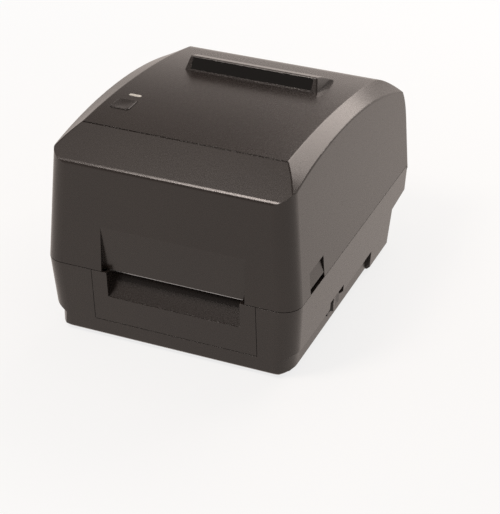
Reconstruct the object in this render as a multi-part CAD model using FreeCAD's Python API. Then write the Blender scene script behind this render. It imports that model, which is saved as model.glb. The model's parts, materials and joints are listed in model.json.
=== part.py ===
"""Desktop thermal transfer label printer: a clamshell case, its drive, its media tray and its ribbon module.

Millimetres. X runs to the viewer's right, Y to the rear and Z up. The origin is under the middle of the case,
on the surface that the rubber feet stand on. Places along the depth are measured back from the front face.
"""
import FreeCAD, Part
import math
import os

V = FreeCAD.Vector

# Case shells
WIDTH = 228.0
DEPTH = 286.0
WALL = 2.5
FOOT_PROUD = 2.0
PARTING_Z = 68.0
SEAM = 0.5
FRONT_CORNER_R = 17.0
REAR_CORNER_R = 6.0
REACH = 400.0
PAST = 1.0

# Upper cover: front face, slanted band, arched top, rear shoulder
LOWER_CREASE_BACK = 3.0
LOWER_CREASE_Z = 164.0
LOWER_CREASE_R = 5.0
UPPER_CREASE_BACK = 38.0
UPPER_CREASE_Z = 184.0
SHOULDER_SET = 42.0
SHOULDER_Z = 165.7
TOP_RISE = 6.6
REAR_LEAN = 0.10
SIDE_DRAFT = 0.075
CREASE_GROOVE_WIDTH = 1.2
CREASE_GROOVE_DEPTH = 0.8

# Tapering chamfer along both sides of the top
CHAMFER_INSET = 23.0
SIDE_CREASE_INSET = 8.8
SIDE_CREASE_FRONT_BACK = 10.0
SIDE_CREASE_FRONT_Z = 169.0
SIDE_CREASE_REAR_SET = 38.0
SIDE_CREASE_REAR_Z = 156.0
SIDE_CREASE_RISE = 14.6
CHAMFER_EDGE_R = 2.0

# Cowl and its window
COWL_FRONT_SET = 110.0
COWL_HALF_WIDTH = 62.3
COWL_SIDE_DRAFT = 0.25
COWL_HEIGHT = 11.0
COWL_FACE_RUN = 7.0
COWL_TAIL_SET = 68.0
COWL_TAIL_SAG = 2.0
COWL_EDGE_R = 1.5
WINDOW_SIDE_RAIL = 3.0
WINDOW_SILL = 1.2
WINDOW_HEAD_RAIL = 1.3
WINDOW_LAP = 1.6
WINDOW_LAP_THICK = 1.4
WINDOW_GAP = 0.15

# Label path, which lies off the centre of the case
MEDIA_X = 5.5
SLOT_HALF_WIDTH = 60.0
SLOT_LIP_Z = 44.0
CHUTE_HALF_WIDTH = 64.5
CHUTE_TOP_Z = 110.0
CHUTE_DEPTH = 6.0

# Front exit panel
PANEL_HALF_WIDTH = 74.3
PANEL_BOTTOM_Z = 18.0
PANEL_GAP = 0.5
RAMP_TOP_BACK = 17.0
RAMP_TOP_Z = 60.0
RAMP_THICK = 2.0
TEAR_PITCH = 2.2
TEAR_TOOTH = 1.4

# Lower case
BASE_SIDE_TAPER = 0.066
BASE_FRONT_TAPER = 0.08
BOTTOM_EDGE = 2.5
UNDERCUT_INSET = 7.3
UNDERCUT_Z = 22.0
UNDERCUT_BEVEL = 5.0
SKIRT_AHEAD = 2.0
SKIRT_CORNER_R = 28.0
UNDERCUT_REAR_SET = 91.0
REAR_STEP_Z = 38.0
REAR_STEP_SET = 39.0
REAR_FOOT_SET = 44.0
OVERHANG_SLOPE = 0.115
REAR_SLOT_Z = 51.0
REAR_SLOT_HEIGHT = 8.0
FLOOR_TOP_Z = FOOT_PROUD + WALL

# Hinge at the rear bottom edge of the cover
HINGE_BARREL_R = 3.5
HINGE_GAP = 0.3
HINGE_LUG_INSET = 37.0
HINGE_LUG_WIDTH = 8.0
HINGE_LUG_R = 3.2
HINGE_PIN_R = 1.5
HINGE_PIN_LENGTH = 28.0
HINGE_NOTCH_Z = 5.0
RUN_GAP = 0.04

# Feet and case screws
FOOT_R = 8.0
FOOT_TAPER = 0.6
FOOT_RECESS = 1.5
FOOT_INSET = 25.0
FOOT_FRONT_BACK = 34.0
FOOT_REAR_SET = 72.0
BOSS_R = 5.0
BOSS_INSET = 14.6
BOSS_LEFT_FRONT_BACK = 80.0
BOSS_RIGHT_FRONT_BACK = 18.0
BOSS_MIDDLE_SHIFT = 7.0
BOSS_REAR_SET = 58.0
SCREW_HEAD_R = 3.4
SCREW_HEAD_Z = 5.0
SCREW_R = 1.5
SCREW_LENGTH = 16.0
SCREW_TIP_GAP = 1.0

# Platen, gears and motor
PLATEN_BACK = 30.0
PLATEN_Z = 57.0
PLATEN_R = 7.5
PLATEN_HALF_LENGTH = 57.0
PLATEN_SHAFT_R = 3.0
BUSH_R = 5.5
BUSH_FLANGE_R = 7.0
BUSH_FLANGE_THICK = 1.2
PLATE_THICK = 2.0
MODULE = 1.0
ADDENDUM = 0.8
DEDENDUM = 1.05
BACKLASH = 0.24
PRESSURE_ANGLE = math.radians(20.0)
GEAR_WIDTH = 6.0
GEAR_SIDE_GAP = 2.0
PLATEN_TEETH = 22
IDLER_TEETH = 36
PINION_TEETH = 14
IDLER_ANGLE = math.radians(-34.0)
PINION_ANGLE = math.radians(-28.0)
STUD_R = 3.0
STUD_COLLAR = 2.0
STUD_CAP_THICK = 1.2
SHAFT_END = 1.0
SHAFT_TAIL = 3.0
GEAR_WEB_DEPTH = 1.5
PLATE_EDGE = 2.5
PLATE_FRONT_RISE = 4.0
MOTOR_SIZE = 42.0
MOTOR_LENGTH = 32.0
MOTOR_CHAMFER = 5.0
MOTOR_WAIST = 0.8
MOTOR_SHAFT_R = 2.5

# Media tray and its roll well
BAY_HALF_WIDTH = 63.0
BAY_WALL = 2.5
TRAY_THICK = 2.0
DECK_FRONT_BACK = 42.0
DECK_FRONT_Z = 58.0
DECK_REAR_Z = 52.0
ROLL_SET = 101.0
ROLL_Z = 84.0
WELL_R = 66.0
REAR_LEDGE_Z = 50.0
REAR_LEDGE_SET = 5.0
SIDE_DECK_Z = 64.0
SIDE_DECK_INSET = 5.5
SIDE_DECK_REAR_SET = 24.0
LEFT_DECK_FRONT_BACK = 46.0
RIGHT_DECK_FRONT_BACK = 12.0

# Roll holders, racks and pinion
HOLDER_HALF_GAP = 59.5
HOLDER_THICK = 3.0
HOLDER_HEAD_R = 22.0
HOLDER_FOOT_HALF = 20.0
HOLDER_CLEAR = 0.6
HOLDER_TRAVEL = 45.0
HUB_R = 18.0
HUB_TIP_R = 12.0
HUB_LENGTH = 10.0
RACK_PINION_TEETH = 20
RACK_Z = 8.0
RACK_HEIGHT = 5.0
RACK_DEPTH = 5.0
RACK_OVERRUN = 10.0
RACK_FOOT_LENGTH = 8.0
RACK_FOOT_WIDTH = 8.0
SLIDE_GAP = 0.5

# Gap sensor in the deck
SENSOR_SET = 19.3
SENSOR_SLOT_WIDTH = 8.0
SENSOR_SLOT_HALF = 54.0
SENSOR_LENGTH = 14.0
SENSOR_FLANGE = 2.5
SENSOR_FLANGE_THICK = 1.6
SENSOR_GAP = 0.3

# Boards and sockets
BOARD_THICK = 1.6
MAIN_BOARD_LENGTH = 86.0
MAIN_BOARD_DEPTH = 72.0
MAIN_BOARD_X = 23.0
MAIN_BOARD_BACK = 84.0
MAIN_BOARD_Z = 9.0
CHIP_HEIGHT = 2.0
PROCESSOR_SIZE = 16.0
DRIVER_WIDTH = 12.0
DRIVER_DEPTH = 9.0
CAPACITOR_R = 4.5
CAPACITOR_HEIGHT = 14.0
CAPACITOR_PITCH = 11.0
BOARD_POST_R = 3.5
PORT_BOARD_SET = 12.0
PORT_BOARD_HEIGHT = 24.0
PORT_BOARD_INSET = 83.0
PORT_BOARD_LENGTH = 120.0
INLET_INSET = 39.0
INLET_WIDTH = 14.0
INLET_HEIGHT = 11.0
INLET_RIM = 2.0
INLET_PIN_R = 1.0
USB_STEP = 26.0
USB_WIDTH = 12.0
USB_HEIGHT = 11.0
SERIAL_STEP = 38.0
SERIAL_WIDTH = 31.0
SERIAL_HEIGHT = 12.5
SOCKET_SHELL = 1.2
PORT_PROUD = 1.0
PORT_GAP = 0.3

# Power switch on the right side
SWITCH_BACK = 106.0
SWITCH_Z = 19.5
SWITCH_BAY_HALF = 16.0
SWITCH_BAY_TOP_Z = 28.0
SWITCH_FLANGE_HALF = 14.0
SWITCH_FLANGE_HALF_HEIGHT = 7.3
SWITCH_FLANGE_THICK = 1.2
SWITCH_BODY_HALF = 12.4
SWITCH_BODY_HALF_HEIGHT = 6.2
SWITCH_BODY_DEPTH = 16.0
SWITCH_WELL_HALF = 11.2
SWITCH_WELL_HALF_HEIGHT = 5.2
SWITCH_WELL_DEPTH = 9.0
ROCKER_HALF = 9.6
ROCKER_HALF_HEIGHT = 4.9
ROCKER_PIVOT_DEPTH = 4.0
ROCKER_END_PROUD = 2.4
ROCKER_DIP = 1.4
ROCKER_TILT = 8.0

# Feed button and indicator lens on the cover
BUTTON_SET = 15.5
BUTTON_BACK = 79.0
BUTTON_WIDTH = 17.0
BUTTON_DEPTH = 19.0
BUTTON_R = 2.5
BUTTON_GAP = 0.5
BUTTON_PROUD = 0.6
BUTTON_FLANGE = 1.5
BUTTON_FLANGE_THICK = 1.5
BUTTON_TRAVEL = 1.2
BUTTON_STEM_R = 3.0
LENS_SET = 14.6
LENS_BACK = 99.0
LENS_WIDTH = 11.5
LENS_DEPTH = 4.0
CONTROL_BOARD_DROP = 9.0
CONTROL_BOARD_WIDTH = 25.0
CONTROL_BOARD_DEPTH = 52.0
CONTROL_BOARD_BACK = 86.0

# Cover release tabs, one on each side
TAB_FRONT_BACK = 35.0
TAB_REAR_BACK = 65.0
TAB_TOP_Z = 88.0
TAB_BOTTOM_Z = 73.0
TAB_RECESS = 2.7
TAB_THICK = 2.4
TAB_GAP = 0.6
TAB_PIVOT_INSET = 7.3
TAB_BARREL_R = 3.0
TAB_PIN_R = 1.25
TAB_LUG = 4.0
TAB_LEG_THICK = 2.6
TAB_LEG_HALF = 7.0
TAB_HOOK_Z = 57.6
TAB_HOOK_HEIGHT = 2.4
TAB_HOOK_REACH = 3.2
KEEPER_THICK = 1.6
KEEPER_CATCH = 2.2
KEEPER_DEPTH = 10.0

# Ribbon module and print head, carried by the cover
MODULE_HALF_GAP = 63.5
MODULE_TOP_Z = 152.0
MODULE_FLANGE = 14.0
MODULE_BOSS_SET = 8.0
MODULE_BOSS_R = 4.0
MODULE_BOSS_FRONT_BACK = 77.0
MODULE_BOSS_REAR_BACK = 122.0
SUPPLY_BACK = 108.0
SUPPLY_Z = 116.0
TAKEUP_BACK = 58.0
TAKEUP_Z = 122.0
SPINDLE_R = 5.0
SPINDLE_END_R = 3.5
SPINDLE_HUB_R = 12.0
SPINDLE_FIN_THICK = 2.0
SPINDLE_FLANGE_R = 17.0
SPINDLE_FLANGE_THICK = 2.0
SPINDLE_SIDE_GAP = 0.5
TAKEUP_TEETH = 40
RIBBON_DRIVE_TEETH = 24
RIBBON_DRIVE_ANGLE = math.radians(-58.0)
RIBBON_GEAR_WIDTH = 5.0
CROSS_PLATE_Z = 94.0
CROSS_PLATE_FRONT_BACK = 30.0
CROSS_PLATE_REAR_BACK = 64.0
HEAD_SHAFT_BACK = 74.0
HEAD_SHAFT_Z = 86.0
HEAD_SHAFT_R = 2.5
HEAD_HALF_LENGTH = 54.5
HEAD_FRONT_BACK = 20.0
HEAD_REAR_BACK = 48.0
HEAD_GAP = 0.3
HEAD_STRIP_THICK = 3.0
HEAD_RIDGE = 2.2
HEAD_RIDGE_WIDTH = 3.0
SINK_HEIGHT = 7.0
SINK_FIN_THICK = 2.0
BRACKET_THICK = 2.0
BRACKET_LUG_WIDTH = 3.0
BRACKET_LUG_R = 5.0
SPRING_THICK = 0.8
SPRING_WIDTH = 16.0
SPRING_X = 28.0
SPRING_FLAT = 6.0
SPRING_FRONT_SET = 14.0
SPRING_TAIL = 8.0
SPRING_GAP = 2.4
GUIDE_ROD_R = 2.5
GUIDE_FRONT_SET = 10.0
GUIDE_REAR_SET = 22.0
GUIDE_REAR_RISE = 8.0
CROSS_PLATE_FOLD = 8.0
RIBBON_PLATE_EDGE = 8.0
RIBBON_PLATE_LIP = 6.0
RIBBON_PLATE_FRONT_SET = 4.0
RIBBON_SHOULDER_RUN = 14.0
RIBBON_SHOULDER_RISE = 18.0
RIBBON_HEEL_RUN = 26.0
RIBBON_HEEL_DROP = 2.0
SUPPLY_DROP = 16.0

# Places that follow from the sizes above
FRONT = -DEPTH / 2
REAR = DEPTH / 2
SHOULDER_BACK = DEPTH - SHOULDER_SET
SIDE_CREASE_REAR_BACK = DEPTH - SIDE_CREASE_REAR_SET
COWL_FRONT_BACK = DEPTH - COWL_FRONT_SET
COWL_TAIL_BACK = DEPTH - COWL_TAIL_SET
UNDERCUT_REAR_BACK = DEPTH - UNDERCUT_REAR_SET
REAR_STEP_BACK = DEPTH - REAR_STEP_SET
REAR_FOOT_BACK = DEPTH - REAR_FOOT_SET
FOOT_REAR_BACK = DEPTH - FOOT_REAR_SET
ROLL_BACK = DEPTH - ROLL_SET
REAR_LEDGE_BACK = DEPTH - REAR_LEDGE_SET
SIDE_DECK_REAR_BACK = DEPTH - SIDE_DECK_REAR_SET
CHAMFER_X = WIDTH / 2 - CHAMFER_INSET
SIDE_CREASE_X = WIDTH / 2 - SIDE_CREASE_INSET
UNDERCUT_X = WIDTH / 2 - UNDERCUT_INSET
HINGE_LUG_X = WIDTH / 2 - HINGE_LUG_INSET
FOOT_X = WIDTH / 2 - FOOT_INSET
BOSS_X = WIDTH / 2 - BOSS_INSET
SIDE_DECK_X = WIDTH / 2 - SIDE_DECK_INSET
PORT_BOARD_X = WIDTH / 2 - PORT_BOARD_INSET
INLET_X = WIDTH / 2 - INLET_INSET
USB_X = INLET_X - USB_STEP
SERIAL_X = USB_X - SERIAL_STEP
FRONT_LEAN = LOWER_CREASE_BACK / (LOWER_CREASE_Z - PARTING_Z)
HINGE_Y = REAR - HINGE_BARREL_R
BAY_LEFT = MEDIA_X - BAY_HALF_WIDTH
BAY_RIGHT = MEDIA_X + BAY_HALF_WIDTH
GEAR_PLATE_X = BAY_LEFT - BAY_WALL - PLATE_THICK
BRACKET_X = BAY_RIGHT + BAY_WALL
GEAR_X = GEAR_PLATE_X - GEAR_SIDE_GAP - GEAR_WIDTH
IDLER_SPAN = MODULE * (PLATEN_TEETH + IDLER_TEETH) / 2
PINION_SPAN = MODULE * (IDLER_TEETH + PINION_TEETH) / 2
IDLER_BACK = PLATEN_BACK + IDLER_SPAN * math.cos(IDLER_ANGLE)
IDLER_Z = PLATEN_Z + IDLER_SPAN * math.sin(IDLER_ANGLE)
PINION_BACK = IDLER_BACK + PINION_SPAN * math.cos(PINION_ANGLE)
PINION_Z = IDLER_Z + PINION_SPAN * math.sin(PINION_ANGLE)
RACK_PINION_R = MODULE * RACK_PINION_TEETH / 2
MODULE_LEFT = MEDIA_X - MODULE_HALF_GAP
MODULE_RIGHT = MEDIA_X + MODULE_HALF_GAP
MODULE_BOSS_X = MODULE_HALF_GAP - MODULE_BOSS_SET
BUTTON_X = MODULE_LEFT - BUTTON_SET
LENS_X = MODULE_LEFT - LENS_SET
RIBBON_GEAR_X = MODULE_LEFT - PLATE_THICK - SPINDLE_SIDE_GAP - RIBBON_GEAR_WIDTH
PRINT_LINE_Z = PLATEN_Z + PLATEN_R + HEAD_GAP
HEAD_STRIP_Z = PRINT_LINE_Z + HEAD_RIDGE
SINK_Z = HEAD_STRIP_Z + HEAD_STRIP_THICK
BRACKET_Z = SINK_Z + SINK_HEIGHT
DRIVE_SPAN = MODULE * (TAKEUP_TEETH + RIBBON_DRIVE_TEETH) / 2
DRIVE_BACK = TAKEUP_BACK + DRIVE_SPAN * math.cos(RIBBON_DRIVE_ANGLE)
DRIVE_Z = TAKEUP_Z + DRIVE_SPAN * math.sin(RIBBON_DRIVE_ANGLE)
WELL_FRONT_BACK = ROLL_BACK - math.sqrt(WELL_R ** 2 - (ROLL_Z - DECK_REAR_Z) ** 2)
SENSOR_BACK = WELL_FRONT_BACK - SENSOR_SET
BOSS_MIDDLE_BACK = DEPTH / 2 + BOSS_MIDDLE_SHIFT
BOSS_REAR_BACK = DEPTH - BOSS_REAR_SET
BOSS_BACKS = {
    -1: (BOSS_LEFT_FRONT_BACK, BOSS_MIDDLE_BACK, BOSS_REAR_BACK),
    1: (BOSS_RIGHT_FRONT_BACK, BOSS_MIDDLE_BACK, BOSS_REAR_BACK),
}
SOCKETS = {
    "dc_inlet": {"x": INLET_X, "width": INLET_WIDTH, "height": INLET_HEIGHT},
    "usb_port": {"x": USB_X, "width": USB_WIDTH, "height": USB_HEIGHT},
    "serial_port": {"x": SERIAL_X, "width": SERIAL_WIDTH, "height": SERIAL_HEIGHT},
}


def back(distance):
    """The Y of a place measured back from the front face."""
    return FRONT + distance


def box(x0, x1, y0, y1, z0, z1):
    """A block between two corners."""
    return Part.makeBox(x1 - x0, y1 - y0, z1 - z0, V(x0, y0, z0))


def rod_x(x0, x1, y, z, radius):
    """A round bar along X."""
    return Part.makeCylinder(radius, x1 - x0, V(x0, y, z), V(1, 0, 0))


def rod_y(x, y0, y1, z, radius):
    """A round bar along Y."""
    return Part.makeCylinder(radius, y1 - y0, V(x, y0, z), V(0, 1, 0))


def rod_z(x, y, z0, z1, radius):
    """A round bar along Z."""
    return Part.makeCylinder(radius, z1 - z0, V(x, y, z0), V(0, 0, 1))


def path(points, place):
    """A closed wire: each step is a point for a straight run, or a middle and an end for an arc."""
    start = place(points[0])
    here = start
    edges = []
    for step in points[1:] + [points[0]]:
        is_arc = isinstance(step[0], tuple)
        there = place(step[1] if is_arc else step)
        if is_arc:
            edges.append(Part.Arc(here, place(step[0]), there).toShape())
        elif there.distanceToPoint(here) > 1e-6:
            edges.append(Part.LineSegment(here, there).toShape())
        here = there
    return Part.Wire(edges)


def side_wire(points, x=0.0):
    """A wire drawn in the side view: distance back from the front face, and height."""
    return path(points, lambda p: V(x, back(p[0]), p[1]))


def side_prism(points, x0, x1):
    """A side view outline carried across the width."""
    return Part.Face(side_wire(points, x0)).extrude(V(x1 - x0, 0, 0))


def front_prism(points, y0, y1):
    """A front view outline (X and height) carried along the depth."""
    wire = path(points, lambda p: V(p[0], y0, p[1]))
    return Part.Face(wire).extrude(V(0, y1 - y0, 0))


def plan_prism(points, z0, z1):
    """A plan outline (X and Y) carried upwards."""
    wire = path(points, lambda p: V(p[0], p[1], z0))
    return Part.Face(wire).extrude(V(0, 0, z1 - z0))


def rounded_rectangle(x0, x1, y0, y1, z, front_r, rear_r):
    """A level rectangle with one radius at its front corners and one at its rear corners."""
    f = front_r * (1 - math.sqrt(0.5))
    r = rear_r * (1 - math.sqrt(0.5))
    points = [
        (x0 + front_r, y0), (x1 - front_r, y0), ((x1 - f, y0 + f), (x1, y0 + front_r)),
        (x1, y1 - rear_r), ((x1 - r, y1 - r), (x1 - rear_r, y1)),
        (x0 + rear_r, y1), ((x0 + r, y1 - r), (x0, y1 - rear_r)),
        (x0, y0 + front_r), ((x0 + f, y0 + f), (x0 + front_r, y0)),
    ]
    return path(points, lambda p: V(p[0], p[1], z))


def rounded_block(x, y, width, depth, z0, z1, radius):
    """An upright block with rounded corners, centred on a point of the plan."""
    wire = rounded_rectangle(x - width / 2, x + width / 2, y - depth / 2, y + depth / 2, z0, radius, radius)
    return Part.Face(wire).extrude(V(0, 0, z1 - z0))


def fused(first, *others):
    """One solid from several that meet."""
    return first.fuse(list(others)).removeSplitter()


def mirrored(shape):
    """The same piece on the other side of the case."""
    return shape.mirror(V(0, 0, 0), V(1, 0, 0))


def tilted(shape, angle, y, z):
    """A piece drawn about the origin, turned about X and moved to a place in the side view."""
    turned = shape.copy()
    turned.rotate(V(0, 0, 0), V(1, 0, 0), math.degrees(angle))
    turned.translate(V(0, y, z))
    return turned


def save(name, shape):
    """Write one node, and stop if it isn't sound."""
    if not shape.isValid() or shape.Volume <= 0:
        raise ValueError(name + " is not a sound solid")
    shape.exportStep("parts/" + name + ".step")


class Arch:
    """A circular arc over a chord in the side view, given by its rise at the middle of the chord."""

    def __init__(self, start, end, rise):
        run = end[0] - start[0]
        climb = end[1] - start[1]
        chord = math.hypot(run, climb)
        self.radius = (chord * chord / 4 + rise * rise) / (2 * rise)
        drop = self.radius - rise
        self.back = (start[0] + end[0]) / 2 + climb / chord * drop
        self.z = (start[1] + end[1]) / 2 - run / chord * drop

    def height(self, distance):
        """The height of the arc at a distance back from the front face."""
        return self.z + math.sqrt(self.radius ** 2 - (distance - self.back) ** 2)

    def slope(self, distance):
        """The climb per millimetre of run."""
        return -(distance - self.back) / (self.height(distance) - self.z)


TOP_ARCH = Arch((UPPER_CREASE_BACK, UPPER_CREASE_Z), (SHOULDER_BACK, SHOULDER_Z), TOP_RISE)
SIDE_ARCH = Arch((SIDE_CREASE_FRONT_BACK, SIDE_CREASE_FRONT_Z),
                 (SIDE_CREASE_REAR_BACK, SIDE_CREASE_REAR_Z), SIDE_CREASE_RISE)


def cover_half_width(z):
    """The cover's side walls lean in as they rise."""
    return WIDTH / 2 - (z - PARTING_Z) * SIDE_DRAFT


def round_corner(before, corner, after, radius):
    """The two ends and the middle of an arc that rounds a corner between two straight runs."""
    into = V(before[0] - corner[0], before[1] - corner[1], 0).normalize()
    out = V(after[0] - corner[0], after[1] - corner[1], 0).normalize()
    half = into.getAngle(out) / 2
    reach = radius / math.tan(half)
    bisector = (into + out).normalize()
    middle = bisector * (radius / math.sin(half) - radius)
    here = V(corner[0], corner[1], 0)
    ends = [here + into * reach, here + middle, here + out * reach]
    return [(p.x, p.y) for p in ends]


def cover_profile():
    """The cover in side view, drawn to below the parting line so that it can be trimmed there."""
    low = PARTING_Z - HINGE_BARREL_R - 8 * WALL
    foot = (FRONT_LEAN * (low - PARTING_Z), low)
    crease = (LOWER_CREASE_BACK, LOWER_CREASE_Z)
    upper = (UPPER_CREASE_BACK, UPPER_CREASE_Z)
    start, middle, end = round_corner(foot, crease, upper, LOWER_CREASE_R)

    shoulder = V(SHOULDER_BACK, SHOULDER_Z, 0)
    along = V(1, TOP_ARCH.slope(SHOULDER_BACK), 0).normalize()
    rear = V(DEPTH, PARTING_Z, 0)
    down = V(REAR_LEAN, -1, 0).normalize()
    cross = along.x * down.y - along.y * down.x
    gap = rear - shoulder
    reach = (gap.x * down.y - gap.y * down.x) / cross
    corner = shoulder + along * reach
    landing = corner + down * reach
    turn = along.getAngle(down)
    radius = reach / math.tan(turn / 2)
    inward = (down - along).normalize()
    crown = corner + inward * (radius / math.cos(turn / 2) - radius)
    bottom = rear + down * ((PARTING_Z - low) / -down.y)

    peak = (UPPER_CREASE_BACK + SHOULDER_BACK) / 2
    return [
        foot, start, (middle, end), upper,
        ((peak, TOP_ARCH.height(peak)), (shoulder.x, shoulder.y)),
        ((crown.x, crown.y), (landing.x, landing.y)), (bottom.x, bottom.y),
    ]


def drafted_plan(z0, z1, inset):
    """The cover's plan between two heights: rounded corners, with the front and sides leaning in."""
    wires = []
    for z in (z0, z1):
        half = cover_half_width(z) - inset
        front = FRONT + (z - PARTING_Z) * FRONT_LEAN + inset
        wires.append(rounded_rectangle(-half, half, front, REAR - inset, z,
                                       FRONT_CORNER_R - inset, REAR_CORNER_R - inset))
    return Part.makeLoft(wires, True, True)


def chamfer_cutter(drop):
    """The space above one side's chamfer: ruled from the top arch out through the side crease."""
    places = (-2 * FRONT_CORNER_R, DEPTH / 2, DEPTH - REAR_CORNER_R)
    outer_x = 2 * SIDE_CREASE_X - CHAMFER_X
    top = [(d, TOP_ARCH.height(d) - drop) for d in places]
    outer = [(d, 2 * SIDE_ARCH.height(d) - TOP_ARCH.height(d) - drop) for d in places]
    wires = []
    for x, run in ((CHAMFER_X, top), (outer_x, outer)):
        roof = UPPER_CREASE_Z + COWL_HEIGHT
        wires.append(side_wire([run[0], (run[1], run[2]), (run[2][0], roof), (run[0][0], roof)], x))
    return Part.makeLoft(wires, True, True)


def cover_form(inset):
    """The cover's outer form, or with an inset the space inside it."""
    wire = side_wire(cover_profile(), -WIDTH)
    if inset > 0:
        wire = wire.makeOffset2D(-inset)
    form = Part.Face(wire).extrude(V(2 * WIDTH, 0, 0))
    low = PARTING_Z - HINGE_BARREL_R - 8 * WALL
    form = form.common(drafted_plan(low, UPPER_CREASE_Z + COWL_HEIGHT, inset))
    cutter = chamfer_cutter(inset)
    return form.cut([cutter, mirrored(cutter)])


def chamfer_edges(form):
    """The long edges of the two chamfers, which are softened."""
    edges = []
    for face in form.Faces:
        middle = face.CenterOfMass
        u, v = face.Surface.parameter(middle)
        if abs(middle.x) > CHAMFER_X and face.normalAt(u, v).z > math.sqrt(0.5):
            edges += [edge for edge in face.Edges if edge.Length > 1.5 * FRONT_CORNER_R]
    return edges


def cowl_form(inset):
    """The raised cowl over the media roll: a steep front face and a tail that runs into the top."""
    foot = (COWL_FRONT_BACK, TOP_ARCH.height(COWL_FRONT_BACK))
    peak = (foot[0] + COWL_FACE_RUN, foot[1] + COWL_HEIGHT)
    tail = (COWL_TAIL_BACK, TOP_ARCH.height(COWL_TAIL_BACK))
    middle = ((peak[0] + tail[0]) / 2, (peak[1] + tail[1]) / 2 + COWL_TAIL_SAG)
    under = 3 * WALL
    lean = COWL_FACE_RUN / COWL_HEIGHT
    outline = [(foot[0] - under * lean, foot[1] - under), peak, (middle, tail),
               (tail[0], tail[1] - 2 * under)]
    wire = side_wire(outline, -COWL_HALF_WIDTH)
    if inset > 0:
        wire = wire.makeOffset2D(-inset)
    form = Part.Face(wire).extrude(V(2 * COWL_HALF_WIDTH, 0, 0))
    wide = COWL_HALF_WIDTH - inset
    narrow = wide - COWL_SIDE_DRAFT * COWL_HEIGHT
    deep = wide + COWL_SIDE_DRAFT * 4 * under
    sides = front_prism([(-deep, foot[1] - 4 * under), (-narrow, peak[1]), (narrow, peak[1]),
                         (deep, foot[1] - 4 * under)], FRONT, REAR)
    form = form.common(sides)
    if inset > 0:
        return form
    raised = [edge for edge in form.Edges if edge.BoundBox.ZMax > foot[1] + PAST]
    return form.makeFillet(COWL_EDGE_R, raised)


def cowl_face_frame():
    """The foot of the cowl's front face, its slope and its length."""
    foot_z = TOP_ARCH.height(COWL_FRONT_BACK)
    angle = math.atan2(COWL_HEIGHT, COWL_FACE_RUN)
    return back(COWL_FRONT_BACK), foot_z, angle, math.hypot(COWL_HEIGHT, COWL_FACE_RUN)


def window_block(margin, outer, inner):
    """A slab in the plane of the cowl's front face, from one depth to another."""
    y, z, angle, length = cowl_face_frame()
    half = COWL_HALF_WIDTH - COWL_SIDE_DRAFT * COWL_HEIGHT - WINDOW_SIDE_RAIL + margin
    slab = box(-half, half, WINDOW_SILL - margin, length - WINDOW_HEAD_RAIL + margin, -inner, outer)
    return tilted(slab, angle, y, z)


def media_window():
    """The smoked pane: its middle fills the opening and its lap sits behind the wall."""
    pane = window_block(-WINDOW_GAP, -WINDOW_GAP, WALL)
    y, z, angle, length = cowl_face_frame()
    half = COWL_HALF_WIDTH - COWL_SIDE_DRAFT * COWL_HEIGHT - WINDOW_SIDE_RAIL + WINDOW_LAP
    lap = box(-half, half, WINDOW_SILL - WINDOW_LAP, length - WINDOW_HEAD_RAIL - WALL,
              -WALL - WINDOW_LAP_THICK, -WALL)
    return fused(pane, tilted(lap, angle, y, z))


def cover_top_under(distance):
    """The height of the cover's inner face under the arch."""
    return TOP_ARCH.height(distance) - WALL


def chute_cutter():
    """The wedge that is scooped out of the cover's front so that labels can curl away."""
    top = (FRONT_LEAN * (CHUTE_TOP_Z - PARTING_Z), CHUTE_TOP_Z)
    slope = (CHUTE_DEPTH - top[0]) / (CHUTE_TOP_Z - PARTING_Z)
    low_z = PARTING_Z - 2 * WALL
    low = (CHUTE_DEPTH + slope * 2 * WALL, low_z)
    ahead = -FRONT_CORNER_R
    return side_prism([top, low, (ahead, low_z), (ahead, CHUTE_TOP_Z)],
                      MEDIA_X - CHUTE_HALF_WIDTH, MEDIA_X + CHUTE_HALF_WIDTH)


def chute_backing():
    """The wall behind the chute, as thick as the rest of the cover."""
    top = (FRONT_LEAN * (CHUTE_TOP_Z - PARTING_Z), CHUTE_TOP_Z + 2 * WALL)
    low = (CHUTE_DEPTH + WALL, PARTING_Z + SEAM)
    return side_prism([top, (top[0] + WALL, top[1]), low, (FRONT_LEAN * SEAM, low[1])],
                      MEDIA_X - CHUTE_HALF_WIDTH - WALL, MEDIA_X + CHUTE_HALF_WIDTH + WALL)


def crease_groove():
    """The fine groove along the upper crease."""
    half = CREASE_GROOVE_WIDTH / 2
    groove = box(-CHAMFER_X, CHAMFER_X, -half, half, -CREASE_GROOVE_DEPTH, CREASE_GROOVE_DEPTH)
    lean = math.atan2(UPPER_CREASE_Z - LOWER_CREASE_Z, UPPER_CREASE_BACK - LOWER_CREASE_BACK) / 2
    return tilted(groove, lean, back(UPPER_CREASE_BACK), UPPER_CREASE_Z)


def tab_pivot_x():
    """The release tab's axis lies inside the cover's side wall."""
    return cover_half_width(TAB_TOP_Z) - TAB_PIVOT_INSET


def tab_lugs():
    """The two ears on the cover's right wall that hold the release tab's pin."""
    x = tab_pivot_x()
    ears = []
    for y in (back(TAB_FRONT_BACK) - TAB_GAP - TAB_LUG, back(TAB_REAR_BACK) + TAB_GAP):
        outer = cover_half_width(TAB_TOP_Z) - WALL / 2
        ear = front_prism([(x, TAB_TOP_Z - TAB_BARREL_R), (outer, TAB_TOP_Z - 2 * TAB_BARREL_R),
                           (outer, TAB_TOP_Z + 2 * TAB_BARREL_R), (x, TAB_TOP_Z + TAB_BARREL_R),
                           ((x - TAB_BARREL_R, TAB_TOP_Z), (x, TAB_TOP_Z - TAB_BARREL_R))], y, y + TAB_LUG)
        ears.append(ear.cut(rod_y(x, y - PAST, y + TAB_LUG + PAST, TAB_TOP_Z, TAB_PIN_R + RUN_GAP)))
    return ears


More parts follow.
